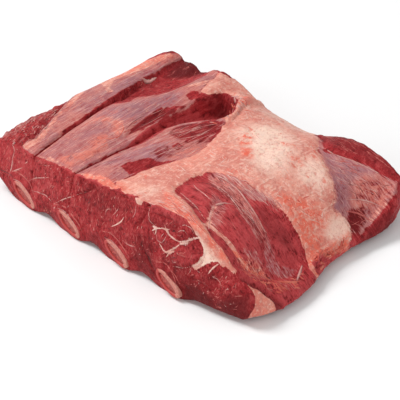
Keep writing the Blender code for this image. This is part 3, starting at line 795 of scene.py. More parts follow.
@dataclass(frozen=True)
class SlabMesh:
    """Builds closed slabs over the whole footprint and maps their tissues.

    An inset is how far a wall pulls in at its top and at its foot. A thin edge is a circle in
    plan, its x, y and radius, with half the width over which the cover thins out there. The rim
    is a strip of open lean along the near edge of the top.
    """

    form: SlabForm
    density: Density
    fat_edge: Outline = Outline(FAT_EDGE)
    wander: Unevenness = Unevenness(41)
    left_inset: tuple[float, float] = (4.0, 8.0)
    right_inset: tuple[float, float] = (4.0, 5.0)
    near_inset: tuple[float, float] = (1.0, 2.5)
    far_inset: tuple[float, float] = (4.0, 3.0)
    seat_depth: float = 2.0
    cover_depth: float = 4.0
    cover_rise: float = 1.3
    cover_lumps: float = 0.5
    edge_dip: float = 2.4
    rim_width: tuple[float, float] = (2.4, 0.6)
    rim_end_x: tuple[float, float] = (40.0, 24.0)
    open_depth: tuple[float, float] = (0.10, 0.35)
    # Painted shade in the slits: the share of a slit's depth over which it grows, and its strength.
    slit_shade_depth: tuple[float, float] = (0.25, 0.80)
    slit_shade_strength: float = 0.8
    edge_softness: float = 1.5
    thin_edges: tuple[Numbers, ...] = (
        (92.0, 46.0, 52.0, 9.0),
        (74.0, -18.0, 44.0, 4.0),
        (12.0, -14.0, 36.0, 5.0),
    )

    @staticmethod
    def inset(share: Array, top: float, bottom: float) -> Array:
        """How far a wall pulls in at a share of its height, rounded above and below."""
        above = np.clip((share - 0.6) / 0.4, 0, 1) ** 2
        return top * above + bottom * np.clip((0.4 - share) / 0.4, 0, 1) ** 2

    def plan(self, column: Array, row: Array, share: Array) -> tuple[Array, Array]:
        """Plan positions of mesh points.

        Args:
            column: mesh column of each point.
            row: mesh row of each point.
            share: share of the slab's height that its footprint is taken at.

        Returns:
            The x and the y of each point.
        """
        form, lanes = self.form, np.array(self.density.lanes)
        across, depth = column / lanes.sum(), row / self.density.rows
        starts = np.concatenate([[0], np.cumsum(lanes)])
        lane = np.clip(np.searchsorted(starts, column, side="right") - 1, 0, len(lanes) - 1)
        in_lane = (column - starts[lane]) / lanes[lane]
        every = np.arange(len(column))
        y = form.near_y + (form.far_y - form.near_y) * depth
        for _ in range(3):
            edges = form.lanes(y)
            x = edges[lane, every] * (1 - in_lane) + edges[lane + 1, every] * in_lane
            x = x + self.inset(share, *self.left_inset) * (1 - across) ** 6
            x = x - self.inset(share, *self.right_inset) * across ** 6
            near = form.near(x) + form.lean_back * share + self.inset(share, *self.near_inset)
            far = form.far(x) - self.inset(share, *self.far_inset)
            y = near * (1 - depth) + far * depth
        return x, y

    def fat_reach(self, x: Array, y: Array) -> Array:
        """Distance inside the fat cover's ragged edge."""
        return self.fat_edge.reach(x, y) + 1.6 * self.wander.layered(on_level(x, y), 7.0)

    def lean_top(self, x: Array, y: Array) -> Array:
        """Top of the lean, which dips under the fat cover.

        Args:
            x: positions across the ribs.
            y: positions along them.

        Returns:
            The height at each position.
        """
        reach = self.fat_edge.reach(x, y)
        seat = self.seat_depth * smooth_step(1.0, 9.0, reach)
        return self.form.top(x, y) - seat - self.form.seam(x, y, reach)

    def fat_top(self, x: Array, y: Array) -> Array:
        """Top of the fat cover, which dips under the lean's surface at its edge.

        Args:
            x: positions across the ribs.
            y: positions along them.

        Returns:
            The height at each position.
        """
        reach = self.fat_reach(x, y)
        lumps = self.cover_lumps * self.wander.layered(on_level(x, y, 30.0), 16.0)
        rise = self.cover_rise * smooth_step(-1.0, 5.0, reach) + lumps * smooth_step(2.0, 10.0, reach)
        return self.form.top(x, y) + rise - self.edge_dip * smooth_step(0.6, -3.0, reach)

    def fat_floor(self, x: Array, y: Array) -> Array:
        """Underside of the fat cover, inside the lean."""
        reach = self.fat_edge.reach(x, y)
        return self.form.top(x, y) - self.cover_depth - self.form.seam(x, y, reach)

    def box(self, name: str, floor: Callable[[Array, Array], Array], roof: Callable[[Array, Array], Array],
            levels: int, upright: bool, finish: bpy.types.Material, trim: float | None) -> bpy.types.Object:
        """A closed slab between two height functions.

        Args:
            name: the piece's name.
            floor: height of its underside.
            roof: height of its top.
            levels: cells up its walls.
            upright: whether its walls stand straight under the top's footprint.
            finish: its material.
            trim: where to cut it, as a distance inside the fat cover's outline, or None.

        Returns:
            The object, with its tissues mapped.
        """
        cells = np.array([sum(self.density.lanes), self.density.rows, levels])
        mesh = bmesh.new()
        bmesh.ops.create_cube(mesh, size=2.0)
        for axis, count in enumerate(cells):
            edges = [e for e in mesh.edges if abs(e.verts[0].co[axis] - e.verts[1].co[axis]) > 1.9]
            if count > 1:
                bmesh.ops.subdivide_edges(mesh, edges=edges, cuts=int(count) - 1, use_grid_fill=True)
        column, row, level = np.rint((np.array([v.co for v in mesh.verts]) + 1) / 2 * cells).T
        share = level / levels
        x, y = self.plan(column, row, np.ones_like(share) if upright else share)
        z = floor(x, y) * (1 - share) + roof(x, y) * share
        x, y, z = self.roughened(x, y, z, column, row, share)
        for vertex, place in zip(mesh.verts, np.stack([x, y, z], axis=1)):
            vertex.co = place
        on_near, as_top = row == 0, (column == cells[0]) | (trim is not None)
        if trim is not None:
            reach = self.fat_edge.reach(x, y)
            mesh.verts.ensure_lookup_table()
            outside = [mesh.verts[int(i)] for i in np.nonzero(reach < trim)[0]]
            bmesh.ops.delete(mesh, geom=outside, context="VERTS")
            kept = reach >= trim
            x, y, z, on_near, as_top, share = (a[kept] for a in (x, y, z, on_near, as_top, share))
        made = finished(name, mesh, finish)
        self.map_tissues(made.data, x, y, z, on_near, as_top, share)
        return made

    def roughened(self, x: Array, y: Array, z: Array, column: Array, row: Array,
                  share: Array) -> tuple[Array, Array, Array]:
        """Walls with the muscles, creases and crags that the knife and saw leave.

        Args:
            x: position across the ribs.
            y: position along them.
            z: height.
            column: mesh column.
            row: mesh row.
            share: share of the wall's height.

        Returns:
            The moved x, y and z.
        """
        places = np.stack([x, y, z], axis=1)
        crag = 0.9 * self.wander.layered(places, 14.0) + 0.6 * self.wander.layered(places * (1, 1, 0.6), 4.0)
        off_rib = self.form.off_rib(x, z)
        collar = 0.9 * smooth_step(0.7, 1.12, off_rib) * smooth_step(1.9, 1.2, off_rib)
        crag = crag * smooth_step(0.0, 0.12, share) * smooth_step(1.02, 0.9, share)
        crag = crag * smooth_step(1.0, 1.5, off_rib) + collar
        face = self.form.relief(FACE_MUSCLES, FACE_GROOVES, x, z) * smooth_step(1.0, 0.93, share)
        on_left, on_right = column == 0, column == sum(self.density.lanes)
        on_near, on_far = 1.0 * (row == 0), 1.0 * (row == self.density.rows)
        return x + crag * (1.0 * on_right - 1.5 * on_left), y + crag * (on_far - on_near) - face * on_near, z

    def map_tissues(self, data: bpy.types.Mesh, x: Array, y: Array, z: Array, on_near: Array,
                    as_top: Array, share: Array) -> None:
        """Stores which tissue shows at each vertex, and where shade is painted.

        Args:
            data: the mesh.
            x: position across the ribs.
            y: position along them.
            z: height.
            on_near: whether a vertex lies on the near face.
            as_top: whether a wall's vertex shows what the top shows beside it.
            share: share of the wall's height.
        """
        places = np.stack([x, y, z], axis=1)
        wander = self.wander.layered(places, 6.0)
        cover = {tissue: np.zeros(len(x)) for tissue in Tissue}
        below = (share < 0.97) & ~on_near & ~as_top
        top = ~on_near & ~below
        for mapped, up, where in ((TOP_REGIONS, y, top), (FACE_REGIONS, z, on_near)):
            for region in mapped:
                shown = region.cover(x[where], up[where], wander[where])
                cover[region.tissue][where] = np.maximum(cover[region.tissue][where], shown)
        fat = smooth_step(-1.0, 1.0, self.fat_reach(x, y) / self.softness(x, y))
        cover[Tissue.FAT] = np.where(top, np.maximum(cover[Tissue.FAT], fat), cover[Tissue.FAT])
        inside = np.where(top, self.form.inside_slits(x, y), 0.0)
        ragged = 2.6 * self.wander.layered(places, 5.0) + 1.5 * smooth_step(-64.0, -40.0, x)
        from_edge = y - self.form.near(x) - self.form.lean_back
        rim = smooth_step(*self.rim_width, from_edge - ragged) * smooth_step(*self.rim_end_x, x)
        rim = np.where(top, rim, 0.0)
        opened = np.maximum(smooth_step(*self.open_depth, inside), rim)
        # Deeper in a slit the lean gets painted shade.
        dark = self.slit_shade_strength * smooth_step(*self.slit_shade_depth, inside)
        for tissue, shown in ((Tissue.OPEN, opened), (Tissue.BRIGHT, rim), (Tissue.SHADE_AND_DARK, dark)):
            cover[tissue] = np.maximum(cover[tissue], shown)
        for tissue in (Tissue.FAT, Tissue.SKIN):
            cover[tissue] = cover[tissue] * (1 - cover[Tissue.OPEN])
        cover[Tissue.CUT] = np.where(below, 1.0, cover[Tissue.CUT])
        for name, parts in (
            ("cover", (Tissue.FAT, Tissue.SKIN, Tissue.SHADE_AND_DARK)),
            ("tint", (Tissue.WHITE, Tissue.WARM, Tissue.LILAC)),
            ("lean", (Tissue.BRIGHT, Tissue.CUT, Tissue.ACROSS)),
        ):
            keep_vector(data, name, np.stack([cover[part] for part in parts], axis=1))

    def softness(self, x: Array, y: Array) -> Array:
        """How softly the fat cover thins out at its edge.

        Args:
            x: positions across the ribs.
            y: positions along them.

        Returns:
            Half the width over which it does so.
        """
        soft = np.full(x.shape, self.edge_softness)
        for middle_x, middle_y, radius, half_width in self.thin_edges:
            near = smooth_step(radius, radius * 0.4, np.hypot(x - middle_x, y - middle_y))
            soft = soft + (half_width - self.edge_softness) * near
        return soft


Socket = bpy.types.NodeSocket
Value = float | tuple[float, ...] | Socket
Inputs = dict[str | int, Value]


class NodeBoard:
    """Lays out a material's nodes."""

    def __init__(self, name: str) -> None:
        """Starts a material.

        Args:
            name: the material's name.
        """
        self.material = bpy.data.materials.new(name)
        self.material.use_nodes = True
        self.tree = self.material.node_tree
        self.surface = self.tree.nodes["Principled BSDF"]
        inputs = {0: self.add("ShaderNodeTexCoord").outputs["Object"], "Scale": 1.0 / MM}
        self.place = self.add("ShaderNodeVectorMath", inputs, operation="SCALE").outputs[0]

    def add(self, kind: str, inputs: Inputs | None = None, **settings: object) -> bpy.types.Node:
        """A new node.

        Args:
            kind: the node's type.
            inputs: what goes into it, by the name or the number of each input.
            **settings: its properties.

        Returns:
            The node.
        """
        node = self.tree.nodes.new(kind)
        for key, value in settings.items():
            setattr(node, key, value)
        self.set(node, inputs or {})
        return node

    def feed(self, socket: Socket, value: Value) -> None:
        """Links a socket or sets its value.

        Args:
            socket: the input.
            value: an output, a number or a colour.
        """
        if isinstance(value, bpy.types.NodeSocket):
            self.tree.links.new(value, socket)
        elif socket.type == "RGBA" and isinstance(value, tuple):
            socket.default_value = (*value[:3], 1.0)
        else:
            socket.default_value = value

    def set(self, node: bpy.types.Node, inputs: Inputs) -> None:
        """Links or sets several inputs of a node."""
        for key, value in inputs.items():
            self.feed(node.inputs[key], value)

    def maths(self, operation: str, first: Value, second: Value = 0.0) -> Socket:
        """One arithmetic step on two values."""
        return self.add("ShaderNodeMath", {0: first, 1: second}, operation=operation).outputs[0]

    def noise(self, stretch: Triple, detail: float = 2.0, roughness: float = 0.5,
              distortion: float = 0.0, turn: float = 0.0) -> Socket:
        """Noise over the piece.

        Args:
            stretch: size of a lump along x, y and z, in millimetres.
            detail: how many finer sizes lie on it.
            roughness: how strong they are.
            distortion: how far lumps are pulled about.
            turn: angle of the lumps in plan.

        Returns:
            A value about 0.5.
        """
        scale = tuple(1.0 / size for size in stretch)
        mapping = self.add("ShaderNodeMapping", {
            "Vector": self.place, "Rotation": (0.0, 0.0, turn), "Scale": scale}, vector_type="POINT")
        node = self.add("ShaderNodeTexNoise", {
            "Vector": mapping.outputs[0], "Scale": 1.0, "Detail": detail, "Roughness": roughness,
            "Distortion": distortion}, noise_dimensions="3D")
        return node.outputs["Fac"]

    def times(self, first: Value, second: Value) -> Socket:
        """The product of two values."""
        return self.maths("MULTIPLY", first, second)

    def total(self, *parts: tuple[Value, float]) -> Socket:
        """A weighted sum.

        Args:
            *parts: values with their weights.

        Returns:
            The sum.
        """
        summed: Value = 0.0
        for value, weight in parts:
            summed = self.maths("ADD", summed, self.times(value, weight))
        return summed

    def between(self, share: Value, first: Value, second: Value) -> Socket:
        """A blend of two values: the first at share 0, the second at share 1."""
        return self.maths("ADD", first, self.times(share, self.maths("SUBTRACT", second, first)))

    def gloss(self, level: float, skin: float) -> None:
        """Sets the moist gloss: the flesh's specular level and the weight of the wet skin on it."""
        self.set(self.surface, {"Specular IOR Level": level, "Coat Weight": skin, "Coat Roughness": 0.2,
                                "Subsurface Weight": 0.06, "Subsurface Scale": 0.002})

    def ramp(self, value: Value, low: float, high: float) -> Socket:
        """An eased ramp, 0 at low and 1 at high."""
        inputs = {"Value": value, "From Min": low, "From Max": high}
        return self.add("ShaderNodeMapRange", inputs, interpolation_type="SMOOTHSTEP").outputs["Result"]

    def mix(self, factor: Value, first: Value, second: Value) -> Socket:
        """A blend of two colours: the first at factor 0, the second at factor 1."""
        inputs = {"Factor": factor, 6: first, 7: second}
        return self.add("ShaderNodeMix", inputs, data_type="RGBA").outputs[2]

    def split(self, name: str) -> tuple[Socket, Socket, Socket]:
        """The three parts of a vector that is stored under a name."""
        stored = self.add("ShaderNodeAttribute", attribute_name=name)
        return tuple(self.add("ShaderNodeSeparateXYZ", {0: stored.outputs["Vector"]}).outputs)

    def bump(self, height: Value, depth: float, strength: float) -> None:
        """Fine relief on the surface, its depth in millimetres and its strength from 0 to 1."""
        node = self.add("ShaderNodeBump", {"Height": height, "Distance": depth * MM, "Strength": strength})
        self.feed(self.surface.inputs["Normal"], node.outputs[0])


@dataclass(frozen=True)
class Grain:
    """Noises of the flesh, from its fibres and fine grit to its widest patches and small spots."""

    streak: Socket
    grit: Socket
    lump: Socket
    patch: Socket
    mottle: Socket


@dataclass(frozen=True)
class FleshFinish:
    """Moist raw meat: lean, silverskin and fat, as the stored tissues say."""

    name: str
    # Deepest lean red; it is also the colour of the painted shade.
    lean_deep: Colour = (0.085, 0.004, 0.005)
    lean_dark: Colour = (0.150, 0.005, 0.007)
    lean_mid: Colour = (0.325, 0.018, 0.022)
    lean_light: Colour = (0.470, 0.056, 0.058)
    lean_bright: Colour = (0.505, 0.066, 0.070)
    # Pale colour of the glints painted on the cut lean.
    glint: Colour = (0.560, 0.150, 0.125)
    skin_pink: Colour = (0.520, 0.175, 0.152)
    skin_tan: Colour = (0.660, 0.310, 0.240)
    skin_mauve: Colour = (0.400, 0.150, 0.150)
    skin_lilac: Colour = (0.330, 0.165, 0.195)
    skin_warm: Colour = (0.660, 0.190, 0.135)
    thread: Colour = (0.660, 0.360, 0.330)
    fat_salmon: Colour = (0.580, 0.185, 0.145)
    fat_pale: Colour = (0.720, 0.310, 0.240)
    fat_white: Colour = (0.860, 0.600, 0.490)
    fat_warm: Colour = (0.740, 0.132, 0.080)
    roughness: float = 0.46

    def build(self) -> bpy.types.Material:
        """Makes the material.

        Returns:
            The material.
        """
        board = NodeBoard(self.name)
        grain = Grain(
            streak=self.streak(board),
            grit=board.noise((0.9, 0.9, 1.1), 3.0, 0.65),
            lump=board.noise((6.0, 6.0, 6.0), 4.0, 0.62, 0.8),
            patch=board.noise((22.0, 26.0, 18.0), 3.0, 0.55, 0.8),
            mottle=board.noise((2.6, 2.9, 2.6), 4.0, 0.7, 0.6),
        )
        colour = self.fat(board, self.film(board, self.lean(board, grain), grain), grain)
        relief = board.total((grain.streak, 0.5), (grain.grit, 0.45), (grain.lump, 0.5), (grain.mottle, 0.5))
        board.bump(relief, 2.0, 0.7)
        matt = board.total((grain.grit, 0.3), (1.0, self.roughness - 0.15))
        board.set(board.surface, {"Base Color": colour, "Roughness": matt})
        board.gloss(0.12, 0.0)
        return board.material

    def streak(self, board: NodeBoard) -> Socket:
        """Fibres that run along the strips, and across them in the fan and the flap.

        Args:
            board: the material's nodes.

        Returns:
            Noise stretched along the fibres.
        """
        across = board.split("lean")[2]
        long = board.noise((1.3, 14.0, 4.0), 4.0, 0.65, 0.3, turn=math.radians(6))
        wide = board.noise((14.0, 1.3, 4.0), 4.0, 0.65, 0.3, turn=math.radians(7))
        return board.between(across, long, wide)

    def lean(self, board: NodeBoard, grain: Grain) -> Socket:
        """Colour of bare lean, with painted glints on its cut faces and painted shade.

        Args:
            board: the material's nodes.
            grain: its noises.

        Returns:
            The colour.
        """
        dark = board.split("cover")[2]
        bright, cut, _ = board.split("lean")
        crumb = board.noise((1.7, 1.7, 3.4), 4.0, 0.7, 0.5)
        fibre = board.between(cut, grain.streak, crumb)
        tone = board.total((grain.lump, 0.38), (fibre, 0.44), (grain.grit, 0.18))
        mixed = board.mix(board.ramp(tone, 0.41, 0.49), self.lean_dark, self.lean_mid)
        mixed = board.mix(board.ramp(tone, 0.50, 0.58), mixed, self.lean_light)
        mixed = board.mix(board.times(bright, board.ramp(tone, 0.36, 0.56)), mixed, self.lean_bright)
        # Painted glints: pale specks on the cut lean, standing for the moist highlights.
        glint_spots = board.ramp(board.noise((1.2, 1.2, 2.2), 3.0, 0.75), 0.57, 0.70)
        mixed = board.mix(board.times(board.times(glint_spots, cut), 0.36), mixed, self.glint)
        mixed = board.mix(board.times(cut, 0.06), mixed, self.lean_deep)
        # Painted shade where the dark mask is set, with darker lean in a few places.
        return board.mix(board.times(dark, 0.85), mixed, self.lean_deep)

    def film(self, board: NodeBoard, lean: Socket, grain: Grain) -> Socket:
        """Silverskin over the lean, thinner and darker where shade is painted.

        Args:
            board: the material's nodes.
            lean: colour of the lean below.
            grain: its noises.

        Returns:
            The colour.
        """
        _, skin, dark = board.split("cover")
        _, warm, lilac = board.split("tint")
        # Silverskin shows less where shade is painted.
        shown = board.total((skin, 1.0), (grain.streak, 1.1), (grain.lump, 0.5), (-0.8, 1.0), (dark, -0.35))
        shown = board.times(board.ramp(shown, 0.30, 0.62), 0.92)
        sheet = board.mix(board.ramp(grain.patch, 0.42, 0.6), self.skin_mauve, self.skin_pink)
        sheet = board.mix(board.times(board.ramp(grain.mottle, 0.52, 0.66), 0.50), sheet, self.skin_tan)
        sheet = board.mix(board.times(lilac, board.ramp(grain.lump, 0.25, 0.55)), sheet, self.skin_lilac)
        sheet = board.mix(board.times(warm, board.ramp(grain.lump, 0.36, 0.60)), sheet, self.skin_warm)
        sheet = board.mix(board.times(board.ramp(grain.streak, 0.53, 0.68), 0.6), sheet, self.thread)
        worn = board.total((grain.streak, 0.6), (grain.mottle, 0.4))
        sheet = board.mix(board.times(board.ramp(worn, 0.49, 0.38), 0.60), sheet, self.lean_mid)
        # Where shade is painted, the silverskin is darkened toward dark lean.
        return board.mix(shown, lean, board.mix(board.times(dark, 0.4), sheet, self.lean_dark))

    def fat(self, board: NodeBoard, under: Socket, grain: Grain) -> Socket:
        """Fat over everything else.

        Args:
            board: the material's nodes.
            under: colour of what lies below.
            grain: its noises.

        Returns:
            The colour.
        """
        fat = board.split("cover")[0]
        white, warm, _ = board.split("tint")
        shown = board.total((fat, 1.0), (grain.streak, 0.75), (grain.grit, 0.3), (-0.525, 1.0))
        tone = board.total((grain.patch, 0.45), (grain.lump, 0.35), (grain.streak, 0.2))
        rich = board.mix(board.ramp(tone, 0.42, 0.56), self.fat_salmon, self.fat_pale)
        rich = board.mix(board.times(white, board.ramp(grain.lump, 0.15, 0.50)), rich, self.fat_white)
        rich = board.mix(board.times(warm, board.ramp(grain.lump, 0.38, 0.58)), rich, self.fat_warm)
        for noise, low, high, share, tint in (
            (grain.streak, 0.54, 0.74, 0.45, self.fat_white),
            (grain.mottle, 0.51, 0.66, 0.50, self.fat_white),
            (grain.mottle, 0.48, 0.35, 0.55, self.fat_salmon),
            (grain.lump, 0.42, 0.30, 0.50, self.fat_warm),
        ):
            rich = board.mix(board.times(board.ramp(noise, low, high), share), rich, tint)
        return board.mix(board.ramp(shown, 0.40, 0.60), under, rich)


@dataclass(frozen=True)
class PlainFinish:
    """A moist tissue of one kind, with soft variation."""

    name: str
    base: Colour
    varied: Colour
    grain: Triple = (3.0, 3.0, 3.0)
    roughness: float = 0.46
    relief: float = 0.25
    flushed: Colour | None = None

    def build(self) -> bpy.types.Material:
        """Makes the material.

        Returns:
            The material.
        """
        board = NodeBoard(self.name)
        tone = board.noise(self.grain, 3.0, 0.6, 0.4)
        grit = board.noise((0.8, 0.8, 0.8), 2.0, 0.6)
        mixed = board.mix(board.ramp(tone, 0.35, 0.65), self.base, self.varied)
        if self.flushed:
            flush = board.total((board.split("flush")[0], 1.0), (tone, 0.8), (-0.4, 1.0))
            mixed = board.mix(board.ramp(flush, 0.3, 0.7), mixed, self.flushed)
        board.feed(board.surface.inputs["Base Color"], mixed)
        board.bump(board.total((tone, 0.5), (grit, 1.0)), self.relief, 0.5)
        board.feed(board.surface.inputs["Roughness"], board.total((grit, 0.2), (1.0, self.roughness - 0.1)))
        board.gloss(0.32, 0.05)
        return board.material


@dataclass
class Rib:
    """One sawn rib: a pale ring of hard bone round dark marrow."""

    number: int
    width: float = SlabForm.rib_width
    thickness: float = SlabForm.rib_thickness
    tilt: float = SlabForm.rib_tilt
    centre_z: float = SlabForm.rib_z
    wall: float = 2.9
    proud: float = 0.7
    slant: float = 0.12
    sawn_rough: float = 0.35
    thick_side: float = math.radians(70)
    marrow_overlap: tuple[float, float] = (1.6, 1.3)
    marrow_sunk: float = 0.3
    marrow_rough: float = 0.7
    marrow_dome: float = 0.9
    sides: int = 64

    @property
    def x(self) -> float:
        """X of the rib's centre line."""
        return SlabForm.first_rib_x + SlabForm.rib_pitch * self.number

    def oval(self, turn: float | Array, inset: float | Array) -> tuple[float | Array, float | Array]:
        """X and z, from the centre line, of the bone's outline at an angle, drawn in by an inset."""
        wide = (self.width / 2 - inset * 1.25) * np.cos(turn)
        return self.tilted(wide, (self.thickness / 2 - inset) * np.sin(turn))

    def tilted(self, wide: float | Array, high: float | Array) -> tuple[float | Array, float | Array]:
        """X and z from the centre line of a place along and across the bone's oval."""
        return (wide * math.cos(self.tilt) - high * math.sin(self.tilt),
                wide * math.sin(self.tilt) + high * math.cos(self.tilt))

    def face_level(self, read: Callable[[float, float], float | None],
                   choose: Callable[[list[float]], float]) -> float:
        """Where the meat's cut face lies round the bone.

        Args:
            read: reads the face's y at an x and a height.
            choose: takes one y from many.

        Returns:
            The chosen y.
        """
        levels = []
        for turn in np.linspace(0, 2 * math.pi, 12, endpoint=False):
            dx, dz = self.oval(turn, 1.2)
            found = read(self.x + float(dx), self.centre_z + float(dz))
            if found is not None:
                levels.append(found - self.slant * float(dz))
        return choose(levels)

    def set_ring(self, loop: list[bmesh.types.BMVert], inset: float, y: float) -> None:
        """Moves a loop of vertices to an oval round the rib's centre line.

        Args:
            loop: the vertices, in order.
            inset: how far inside the bone's outline the oval lies.
            y: where it lies along the rib.
        """
        noise = Unevenness(60 + self.number)
        turn = 2 * math.pi * np.arange(len(loop)) / len(loop)
        rough = noise.layered(np.stack([3 * np.cos(turn), 3 * np.sin(turn), 0.1 * y + 0 * turn], axis=1), 1.6)
        pull = inset * (1.0 + 0.4 * np.cos(turn - self.thick_side)) + self.sawn_rough * rough
        dx, dz = self.oval(turn, pull)
        for vertex, px, pz in zip(loop, dx, dz):
            vertex.co = (self.x + px, y + self.slant * pz, self.centre_z + pz)

    def tube(self, near: float, far: float, finish: bpy.types.Material) -> bpy.types.Object:
        """The ring of hard bone.

        Args:
            near: y of its near end.
            far: y of its far end.
            finish: its material.

        Returns:
            The object.
        """
        middle, wall = (near + far) / 2, self.wall
        end = ((wall, 3.0), (wall, 0.5), (wall - 0.3, 0.1), (wall * 0.6, 0.0), (wall * 0.3, 0.0),
               (0.25, 0.1), (0.0, 0.5), (0.0, 4.0))
        stations = [(wall, middle), *((inset, near + depth) for inset, depth in end),
                    (0.0, middle), *((inset, far - depth) for inset, depth in reversed(end))]
        mesh = bmesh.new()
        loop = bmesh.ops.create_circle(mesh, cap_ends=False, segments=self.sides, radius=1.0)["verts"]
        self.set_ring(loop, *stations[0])
        for station in stations[1:]:
            edges = [e for e in mesh.edges if e.is_boundary or e.is_wire]
            edges = [e for e in edges if all(v in loop for v in e.verts)]
            made = bmesh.ops.extrude_edge_only(mesh, edges=edges)["geom"]
            fresh = {v for v in made if isinstance(v, bmesh.types.BMVert)}
            loop = [next(e.other_vert(v) for e in v.link_edges if e.other_vert(v) in fresh) for v in loop]
            self.set_ring(loop, *station)
        bmesh.ops.bridge_loops(mesh, edges=[e for e in mesh.edges if e.is_boundary])
        made = finished(f"rib_ring_{self.number + 1}", mesh, finish)
        self.flush(made, 1.0)
        return made

    def core(self, near: float, far: float, finish: bpy.types.Material) -> bpy.types.Object:
        """The marrow inside the ring, rough where it is sawn.

        Args:
            near: y of its near end.
            far: y of its far end.
            finish: its material.

        Returns:
            The object.
        """
        mesh = bmesh.new()
        bmesh.ops.create_grid(mesh, x_segments=26, y_segments=12, size=1.0)
        bmesh.ops.translate(mesh, verts=mesh.verts[:], vec=(0, 0, -1))
        made = bmesh.ops.extrude_face_region(mesh, geom=mesh.faces[:])["geom"]
        bmesh.ops.translate(mesh, verts=[v for v in made if isinstance(v, bmesh.types.BMVert)], vec=(0, 0, 2))
        noise = Unevenness(80 + self.number)
        places = np.array([v.co for v in mesh.verts])
        u, v = places[:, 0], places[:, 1]
        u, v = u * np.sqrt(1 - v * v / 2), v * np.sqrt(1 - u * u / 2)
        wide = u * (self.width / 2 - self.wall * 1.25 + self.marrow_overlap[0])
        high = v * (self.thickness / 2 - self.wall + self.marrow_overlap[1])
        dx, dz = self.tilted(wide, high)
        rough = noise.layered(on_level(wide, high), 3.0) * self.marrow_rough
        sunk = self.marrow_sunk + self.marrow_dome * (u * u + v * v)
        y = np.where(places[:, 2] < 0, near + sunk, far - sunk) + rough + self.slant * dz
        for vertex, place in zip(mesh.verts, np.stack([self.x + dx, y, self.centre_z + dz], axis=1)):
            vertex.co = place
        made = finished(f"marrow_core_{self.number + 1}", mesh, finish)
        self.flush(made, -1.0)
        return made

    def flush(self, piece: bpy.types.Object, side: float) -> None:
        """Stores where a second colour shows: low on the left, or high on the right.

        Args:
            piece: the bone or the marrow.
            side: 1 for low on the left, -1 for high on the right.
        """
        places = np.array([v.co for v in piece.data.vertices]) / MM
        dx, dz = places[:, 0] + ORIGIN[0] - self.x, places[:, 2] - self.centre_z
        upper = dz * math.cos(self.tilt) - dx * math.sin(self.tilt) + 0.16 * dx
        share = smooth_step(2.5, -2.5, side * upper)
        keep_vector(piece.data, "flush", np.stack([share, share, share], axis=1))


@dataclass(frozen=True)
class Studio:
    """Camera, soft light and plain pale floor."""

    azimuth: float = 45.3
    elevation: float = 34.5
    distance: float = 1.6
    lens: float = 192.0
    aim: Triple = (0.00274, -0.00537, 0.00854)
    ambient: float = 0.52
    lamps: tuple[tuple[str, Triple, float, float], ...] = (
        ("key", (-1.15, -0.55, 1.75), 0.9, 38.5),
        ("front", (0.6, -1.9, 1.0), 1.2, 12.0),
        ("side", (1.5, 0.5, 1.2), 1.2, 6.5),
    )

    def build(self) -> None:
        """Places the camera, the lights and the floor."""
        scene = bpy.context.scene
        turn, rise = math.radians(self.azimuth), math.radians(self.elevation)
        back = Vector((math.sin(turn) * math.cos(rise), -math.cos(turn) * math.cos(rise), math.sin(rise)))
        camera = bpy.data.cameras.new("camera")
        camera.lens, camera.sensor_width, camera.clip_end = self.lens, 36.0, 20.0
        scene.camera = self.hang("camera", camera, Vector(self.aim) + back * self.distance, back)
        world = bpy.data.worlds.new("studio")
        world.use_nodes = True
        sky = world.node_tree.nodes["Background"]
        sky.inputs["Color"].default_value = (1.0, 1.0, 1.0, 1.0)
        sky.inputs["Strength"].default_value = self.ambient
        scene.world = world
        for lamp in self.lamps:
            self.lamp(*lamp)
        scene.view_settings.view_transform = "Standard"
        scene.view_settings.look = "None"
        scene.view_settings.exposure = 0.0
        self.floor()

    @staticmethod
    def hang(name: str, data: bpy.types.ID, place: Vector, back: Vector) -> bpy.types.Object:
        """Hangs a camera or a lamp.

        Args:
            name: its name.
            data: the camera or the light.
            place: where it hangs.
            back: the way that its back points.

        Returns:
            The object.
        """
        made = bpy.data.objects.new(name, data)
        made.matrix_world = Matrix.Translation(place) @ back.to_track_quat("Z", "Y").to_matrix().to_4x4()
        bpy.context.scene.collection.objects.link(made)
        return made

    def lamp(self, name: str, place: Triple, size: float, power: float) -> None:
        """A soft square lamp that faces the slab.

        Args:
            name: the lamp's name.
            place: where it hangs.
            size: its side in metres.
            power: its power in watts.
        """
        light = bpy.data.lights.new(name, "AREA")
        light.shape, light.size, light.energy = "SQUARE", size, power
        self.hang(name, light, Vector(place), Vector(place))

    @staticmethod
    def floor() -> None:
        """The plain pale floor."""
        board = NodeBoard("floor")
        board.set(board.surface, {"Base Color": (0.8, 0.8, 0.8), "Roughness": 0.9, "Specular IOR Level": 0.1})
        mesh = bmesh.new()
        bmesh.ops.create_grid(mesh, x_segments=1, y_segments=1, size=4.0)
        data = bpy.data.meshes.new("floor")
        mesh.to_mesh(data)
        mesh.free()
        data.materials.append(board.material)
        made = bpy.data.objects.new("floor", data)
        bpy.context.scene.collection.objects.link(made)


